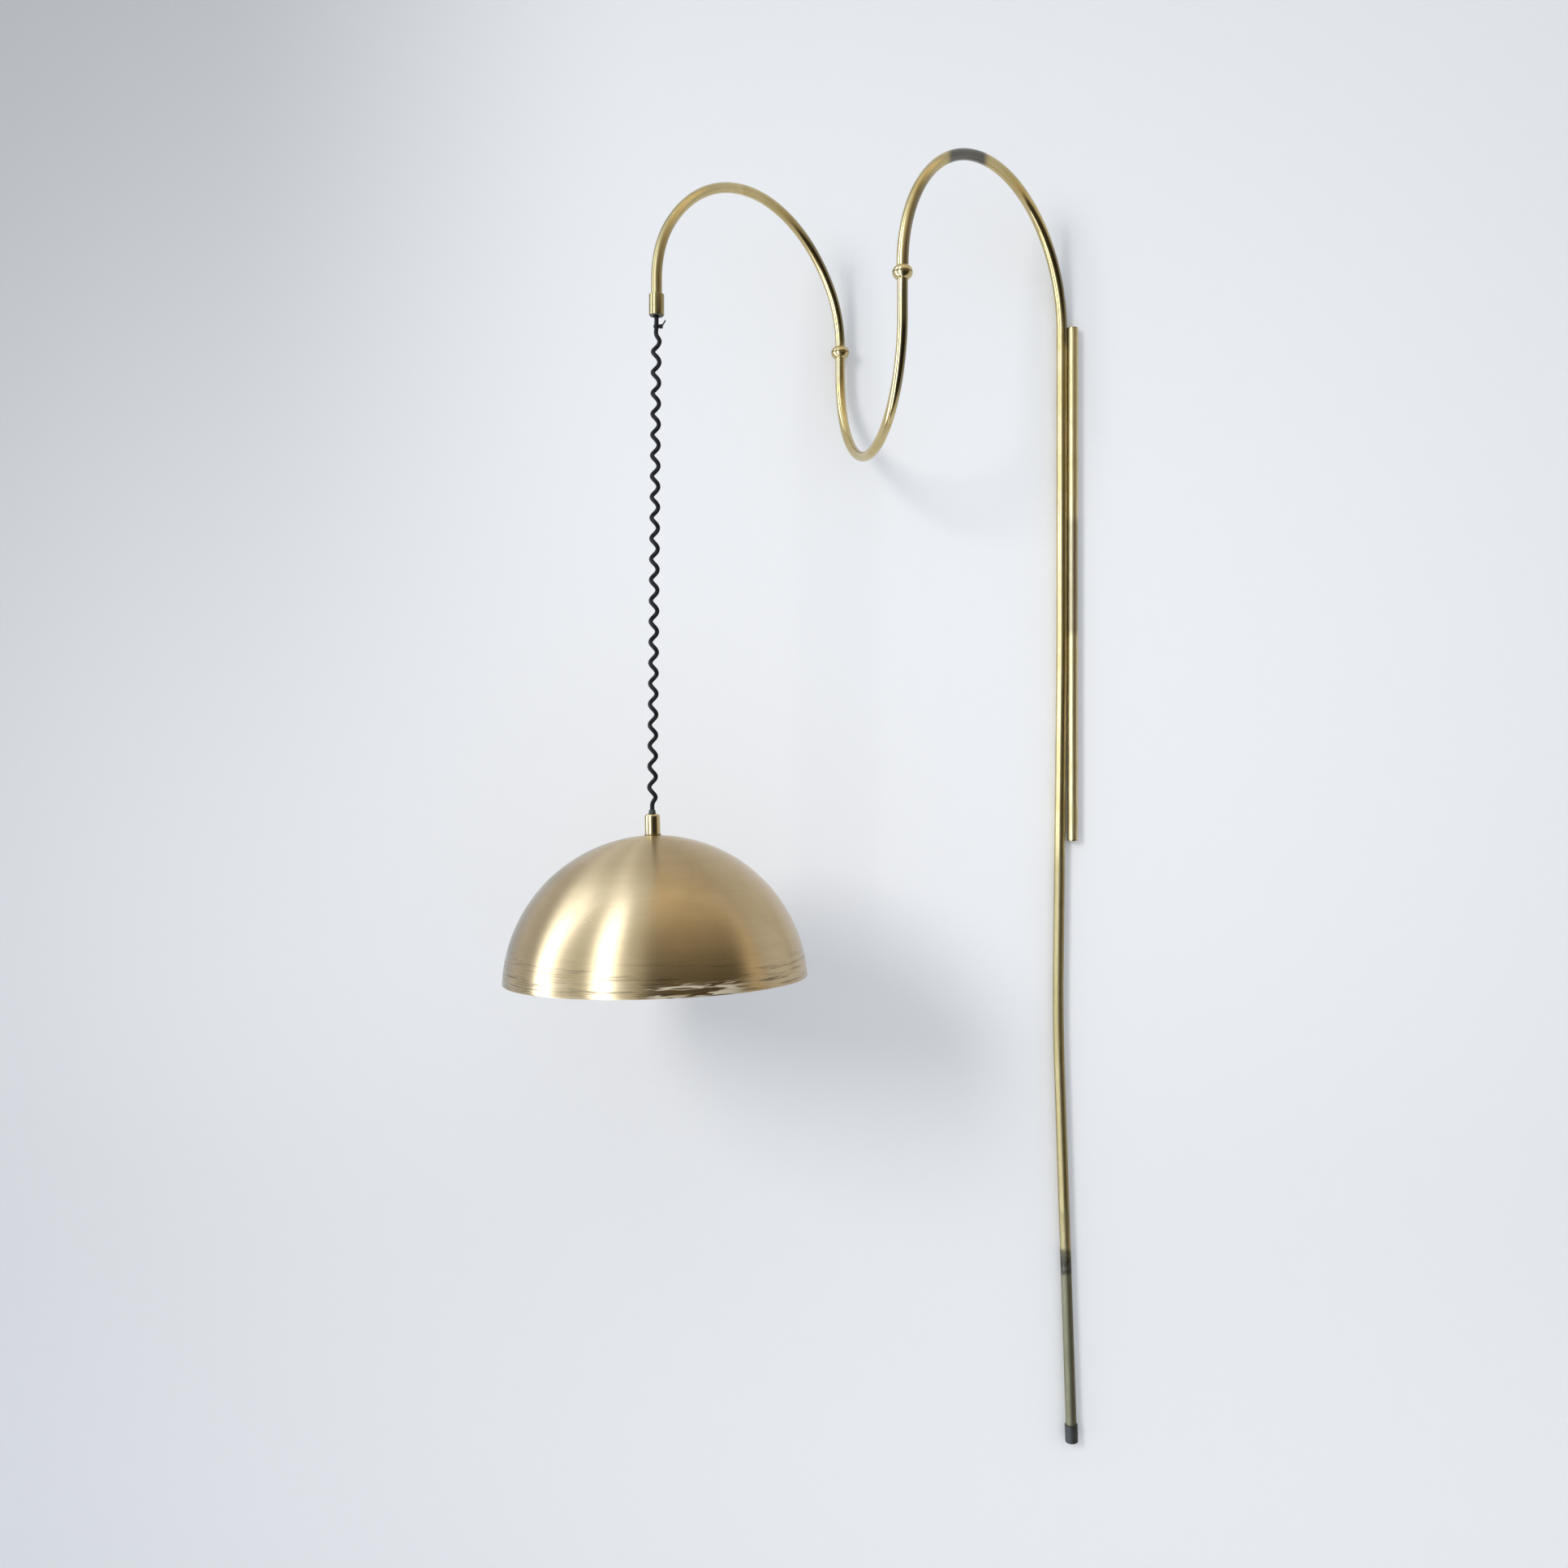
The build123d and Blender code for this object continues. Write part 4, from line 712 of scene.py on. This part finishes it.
def half_bead(swivel, half, axis_point, z, tube_r, hollow_r, body):
    """Half of a swivel's bead, its rim softened at the slit."""
    side = 1 if half == "upper" else -1
    lip = tube_r + LIP
    belly = Vector(((BEAD_R + lip) / 2 + LIP, BULGE + SLIT, 0))
    top, low = Vector((lip, BEAD_HALF - SOFT, 0)), Vector((BEAD_R, SLIT + SOFT, 0))
    curve = []
    for i in range(BELLY_STEPS + 1):
        t = i / BELLY_STEPS
        bowed = top.lerp(belly, t).lerp(belly.lerp(low, t), t)
        point = bowed + (bowed - top.lerp(low, t)) * FULLNESS
        curve.append((point.x, point.y))
    outline = [(hollow_r, SLIT), (hollow_r, TUBE_SEAT), (tube_r, TUBE_SEAT), (tube_r, BEAD_HALF)]
    outline += [(lip - 0.4 * MM, BEAD_HALF)] + curve
    outline += [(BEAD_R - 0.15 * MM, SLIT + 0.15 * MM), (BEAD_R - SOFT, SLIT)]
    outline = mirrored(outline, side)
    if side > 0:
        outline.reverse()
    bead = lathe(f"{swivel}_bead_{half}", outline, at_height(axis_point, z))
    placed(bead, body, f"{swivel}_swivel_{half}_bead")


half_bead("inner", "upper", inner_axis, INNER_SWIVEL, STEM_R, STUD_HOLE, "wall_stem")
half_bead("inner", "lower", inner_axis, INNER_SWIVEL, ARM_R, STUD_SEAT, "u_link")
half_bead("outer", "lower", outer_axis, OUTER_SWIVEL, ARM_R, STUD_HOLE, "u_link")
half_bead("outer", "upper", outer_axis, OUTER_SWIVEL, ARM_R, STUD_SEAT, "outer_arm")

# ---------------------------------------------------------------- other turned pieces
# Rounded plugs in the wall tube's ends
PLUG_HEAD, PLUG_DEPTH = 2 * MM, 8 * MM
for side, name in ((1, "top"), (-1, "bottom")):
    outline = profile_2d(
        [(0, PLUG_HEAD), (0, -PLUG_DEPTH), (WALL_TUBE_BORE, -PLUG_DEPTH), (WALL_TUBE_BORE, 0.0),
         (WALL_TUBE_R, 0.0), (WALL_TUBE_R, PLUG_HEAD)],
        [0, 0, 0, 0, 0.25 * MM, 1.0 * MM],
    )
    outline = mirrored(outline, side)
    if side < 0:
        outline.reverse()
    foot = Vector((0, TUBE_Y, side * WALL_TUBE_HALF))
    plug = lathe("wall_tube_plug_" + name, outline, foot, segments=64)
    placed(plug, "wall_stem", f"wall_tube_{name}_plug")

# End sleeve, its mouth flared and its edges broken
SLEEVE_R, SLEEVE_LENGTH, SLEEVE_FOOT = 8.9 * MM, 24.3 * MM, 278.9 * MM
SOCKET_R, SOCKET_FLOOR = 6.1 * MM, 8.6 * MM
MOUTH_R, WAIST_R, WAIST, SEAT_TOP_R, SEAT_TOP = 6 * MM, 4.69 * MM, 4.7 * MM, 5.8 * MM, 6.65 * MM
sleeve = profile_2d(
    [(SOCKET_R, SOCKET_FLOOR), (ARM_R, SOCKET_FLOOR), (ARM_R, SLEEVE_LENGTH),
     (SLEEVE_R, SLEEVE_LENGTH), (SLEEVE_R, 0), (MOUTH_R, 0), (WAIST_R, WAIST),
     (SEAT_TOP_R, SEAT_TOP)],
    [0, 0, 0.15 * MM, 0.5 * MM, 0.6 * MM, 0.3 * MM, 0, 0.5 * MM],
)
sleeve = lathe("arm_end_sleeve", sleeve, at_height(drop_axis, SLEEVE_FOOT))
placed(sleeve, "outer_arm", "end_sleeve", look=sleeve_brass)

# Painted shade: a dark nylon ring round the sleeve's mouth, standing for no node, gives the shade
# seen under it
SHADE_RING_R, SHADE_RING_BORE = 8.1 * MM, 4.9 * MM
SHADE_RING_DROP, SHADE_RING_SET_IN, SHADE_RING_LIP = 0.8 * MM, 0.05 * MM, 0.3 * MM
mouth_shade_ring = profile_2d(
    [(SHADE_RING_BORE, SHADE_RING_LIP), (SHADE_RING_BORE, -SHADE_RING_DROP), (SHADE_RING_R, -SHADE_RING_DROP), (SHADE_RING_R, SHADE_RING_SET_IN),
     (MOUTH_R, SHADE_RING_SET_IN)],
    [0, 0.3 * MM, 0.3 * MM, 0, 0],
)
mouth_shade_ring = lathe("sleeve_mouth_shade_ring", mouth_shade_ring, at_height(drop_axis, SLEEVE_FOOT))
mouth_shade_ring.data.materials.append(MATERIALS["nylon"])
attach(mouth_shade_ring, "outer_arm")

# Cord grip, flange and strain relief on the shade's own axis
GRIP_R, GRIP_BORE, FLANGE_R = 9 * MM, 5 * MM, 9.8 * MM
RELIEF_TOP_R, RELIEF_BORE = 3.6 * MM, 2.2 * MM
RELIEF_TOP, RELIEF_SOCKET, RELIEF_SHOULDER, RELIEF_FOOT = 5 * MM, 2 * MM, -3 * MM, -10 * MM
grip = profile_2d(
    [(GRIP_BORE, 0), (GRIP_BORE, -GRIP_LENGTH), (GRIP_R, -GRIP_LENGTH), (GRIP_R, 0)],
    [0.2 * MM, 0, 0.25 * MM, 3 * MM],
)
placed(lathe("brass_cord_grip", grip, HANG, head_up), "pendant", "cord_grip")
flange = profile_2d(
    [(GRIP_BORE, -GRIP_LENGTH), (GRIP_BORE, -APEX), (FLANGE_R, -APEX), (FLANGE_R, -GRIP_LENGTH)],
    [0, 0, 0.2 * MM, 0.5 * MM],
)
flange = lathe("brass_grip_flange", flange, HANG, head_up)
placed(flange, "pendant", "grip_flange", look=flange_brass)
relief = profile_2d(
    [(CORD_R, RELIEF_TOP), (CORD_R, RELIEF_SOCKET), (RELIEF_BORE, RELIEF_SOCKET),
     (RELIEF_BORE, RELIEF_FOOT), (GRIP_BORE, RELIEF_FOOT), (GRIP_BORE, RELIEF_SHOULDER),
     (RELIEF_TOP_R, RELIEF_TOP)],
    [0, 0, 0, 0, 0.3 * MM, 1.5 * MM, 0.5 * MM],
)
placed(lathe("cord_strain_relief", relief, HANG, head_up, 48), "pendant", "strain_relief")

# ---------------------------------------------------------------- cord: body and material
cord_data.materials.append(MATERIALS["black_cord"])
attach(cord, "pendant")
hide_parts("curly_cord")

# ---------------------------------------------------------------- stage
WALL_Y, FLOOR_Z, REACH = 0.0006, -1.75, 14.0
WALL_PAINT, FLOOR_PAINT = (0.83, 0.835, 0.85), (0.8, 0.8, 0.8)
WALL_GAP = (9 * MM, 668 * MM)
# Painted light and shade on the wall: its paler foot and darker upper left corner, where each
# starts and is full, in metres
PALE_FOOT, DARK_SIDE, DARK_TOP = (-0.75, -1.35), (-0.55, -1.2), (-0.7, 1.0)
PALER, DARKER = 1.07, 0.71


def one_sided(name, colour, gap=None):
    """Matt paint on the front, clear from behind and in the gap, which the wall bar covers.

    A wall with a gap gets painted shade towards its upper left and painted light towards the floor.
    """
    material, tree, shader = new_material(name, colour, 0.0, 0.9, Specular_IOR_Level=0.1)
    facing = add(tree, "NewGeometry")
    open_part = facing.outputs["Backfacing"]
    if gap:
        place = parts(tree, facing.outputs["Position"])
        across, up = place["X"], place["Z"]
        inside = [
            product(tree, product(tree, socket, 1.0, "ABSOLUTE"), size / 2, "LESS_THAN")
            for socket, size in ((across, gap[0]), (up, gap[1]))
        ]
        open_part = greater(tree, open_part, product(tree, *inside))
        # Painted light towards the floor and painted shade towards the upper left corner
        foot = fade(tree, up, *PALE_FOOT)
        paint = mixed(tree, foot, colour, tuple(PALER * c for c in colour))
        corner = product(tree, fade(tree, across, *DARK_SIDE), fade(tree, up, *DARK_TOP))
        paint = mixed(tree, corner, paint, tuple(DARKER * c for c in colour))
        tree.links.new(paint, shader.inputs["Base Color"])
    clear, mix = add(tree, "BsdfTransparent"), add(tree, "MixShader")
    tree.links.new(open_part, mix.inputs[0])
    tree.links.new(shader.outputs[0], mix.inputs[1])
    tree.links.new(clear.outputs[0], mix.inputs[2])
    tree.links.new(mix.outputs[0], tree.nodes["Material Output"].inputs["Surface"])
    return material


def stage_plane(name, corners, material):
    mesh = bpy.data.meshes.new(name)
    mesh.from_pydata(corners, [], [tuple(range(4))])
    mesh.materials.append(material)
    plane = new_object(name, mesh)
    return plane


stage_plane(
    "wall",
    [(-REACH, WALL_Y, -REACH), (REACH, WALL_Y, -REACH),
     (REACH, WALL_Y, REACH), (-REACH, WALL_Y, REACH)],
    one_sided("pale_wall", WALL_PAINT, gap=WALL_GAP),
)
floor = stage_plane(
    "floor",
    [(-REACH, -REACH, FLOOR_Z), (REACH, -REACH, FLOOR_Z),
     (REACH, WALL_Y, FLOOR_Z), (-REACH, WALL_Y, FLOOR_Z)],
    one_sided("pale_floor", FLOOR_PAINT),
)
floor.visible_glossy = False

# ---------------------------------------------------------------- softbox
SHADE_MIDDLE = Vector((-0.53, -0.30, -0.40))
KEY_AZIMUTH, KEY_ELEVATION, KEY_DISTANCE = radians(-35), radians(21), 3.2
KEY_TARGET = Vector((0.4, 0, -0.4))
KEY_WIDTH, KEY_HEIGHT, KEY_SPREAD = 0.75, 1.25, radians(66)
KEY_POWER, KEY_COLOUR = 7.7, (1.0, 0.975, 0.94)

key_data = bpy.data.lights.new("key", "AREA")
key_data.shape = "RECTANGLE"
key_data.size, key_data.size_y = KEY_WIDTH, KEY_HEIGHT
key_data.spread = KEY_SPREAD
key_data.energy = KEY_POWER
key_data.color = KEY_COLOUR
key = new_object("key", key_data)
# Its azimuth is from -Y and positive to the right, as seen from the shade
key_place = SHADE_MIDDLE + KEY_DISTANCE * Vector((
    sin(KEY_AZIMUTH) * cos(KEY_ELEVATION), -cos(KEY_AZIMUTH) * cos(KEY_ELEVATION),
    sin(KEY_ELEVATION),
))
key.location = key_place
key.rotation_euler = (KEY_TARGET - key_place).to_track_quat("-Z", "Y").to_euler()
key.visible_camera = key.visible_glossy = False

# ---------------------------------------------------------------- room that reflections see
# In degrees, seen from the shade: azimuths from -Y and positive to the right, and heights
ROOM_R = 4.3
DIM_SIDE, DIM_BLUR, DIM_HEIGHTS, DIMMED = (-3, 78), 8, (15, 75), -0.93
PANES, PANE_BLUR = ((-41, -26), (-92, -77)), 4
PANE_HEIGHTS, PANE_LIGHT = (38, 80), (6.5, 0.7)
CEILING_HEIGHTS, CEILING_LIGHT = (20, 55), (0.78, 1.1)
COOL_TO_WARM, COOL, WARM = (-25, 20), (0.92, 0.99, 1.02), (1.0, 0.89, 0.7)
PANE_COLOUR = (0.84, 0.97, 1.2)


def room_glow(tree):
    """Glow of a pale room with a dim side in front and two tall panes on the left."""
    place = parts(tree, add(tree, "TexCoord").outputs["Object"])
    bearing = product(tree, place["X"], product(tree, place["Y"], -1.0), "ARCTAN2")
    height = product(tree, place["Z"], ROOM_R, "DIVIDE")

    def band(low, high, blur):
        """1 between two azimuths, 0 outside, with soft edges."""
        edges = [radians(a) for a in (low - blur, low + blur, high - blur, high + blur)]
        return span(tree, bearing, *edges)

    def by_height(heights, values, smooth=False):
        low, high = (sin(radians(a)) for a in heights)
        return ranged(tree, height, low, high, *values, smooth)

    dim = product(tree, band(*DIM_SIDE, DIM_BLUR), by_height(DIM_HEIGHTS, (DIMMED, 0.0)))
    lit = total(tree, dim, 1.0)
    lit = product(tree, lit, by_height(CEILING_HEIGHTS, CEILING_LIGHT, True))
    glass = greater(tree, *(band(*pane, PANE_BLUR) for pane in PANES))
    panes = product(tree, glass, by_height(PANE_HEIGHTS, PANE_LIGHT, True))
    warmth = fade(tree, bearing, *(radians(a) for a in COOL_TO_WARM))
    colour = mixed(tree, glass, mixed(tree, warmth, COOL, WARM), PANE_COLOUR)
    glow = add(tree, "Emission")
    tree.links.new(total(tree, lit, panes), glow.inputs["Strength"])
    tree.links.new(colour, glow.inputs["Color"])
    return glow


room_material = bpy.data.materials.new("room")
room_material.use_nodes = True
room_material.cycles.emission_sampling = "NONE"
tree = room_material.node_tree
tree.nodes.remove(tree.nodes["Principled BSDF"])
surface = tree.nodes["Material Output"].inputs["Surface"]
tree.links.new(room_glow(tree).outputs[0], surface)
ball = bmesh.new()
bmesh.ops.create_uvsphere(ball, u_segments=48, v_segments=24, radius=ROOM_R)
room_mesh = bpy.data.meshes.new("room")
ball.to_mesh(room_mesh)
ball.free()
room_mesh.materials.append(room_material)
room = new_object("room", room_mesh)
room.location = SHADE_MIDDLE
room.visible_camera = room.visible_diffuse = room.visible_shadow = False

# ---------------------------------------------------------------- world: soft light, seen as white
SOFT_COLOUR, SOFT_STRENGTH = (0.91, 0.95, 1.0, 1), 0.905
world = bpy.data.worlds.new("studio")
bpy.context.scene.world = world
world.use_nodes = True
tree = world.node_tree
shown, soft = tree.nodes["Background"], add(tree, "Background")
shown.inputs["Color"].default_value = (1, 1, 1, 1)
soft.inputs["Color"].default_value = SOFT_COLOUR
soft.inputs["Strength"].default_value = SOFT_STRENGTH
path, mix = add(tree, "LightPath"), add(tree, "MixShader")
seen = greater(tree, path.outputs["Is Camera Ray"], path.outputs["Is Glossy Ray"])
seen = greater(tree, seen, path.outputs["Is Transmission Ray"])
tree.links.new(seen, mix.inputs[0])
tree.links.new(soft.outputs[0], mix.inputs[1])
tree.links.new(shown.outputs[0], mix.inputs[2])
tree.links.new(mix.outputs[0], tree.nodes["World Output"].inputs["Surface"])
bpy.context.scene.view_settings.view_transform = "Standard"
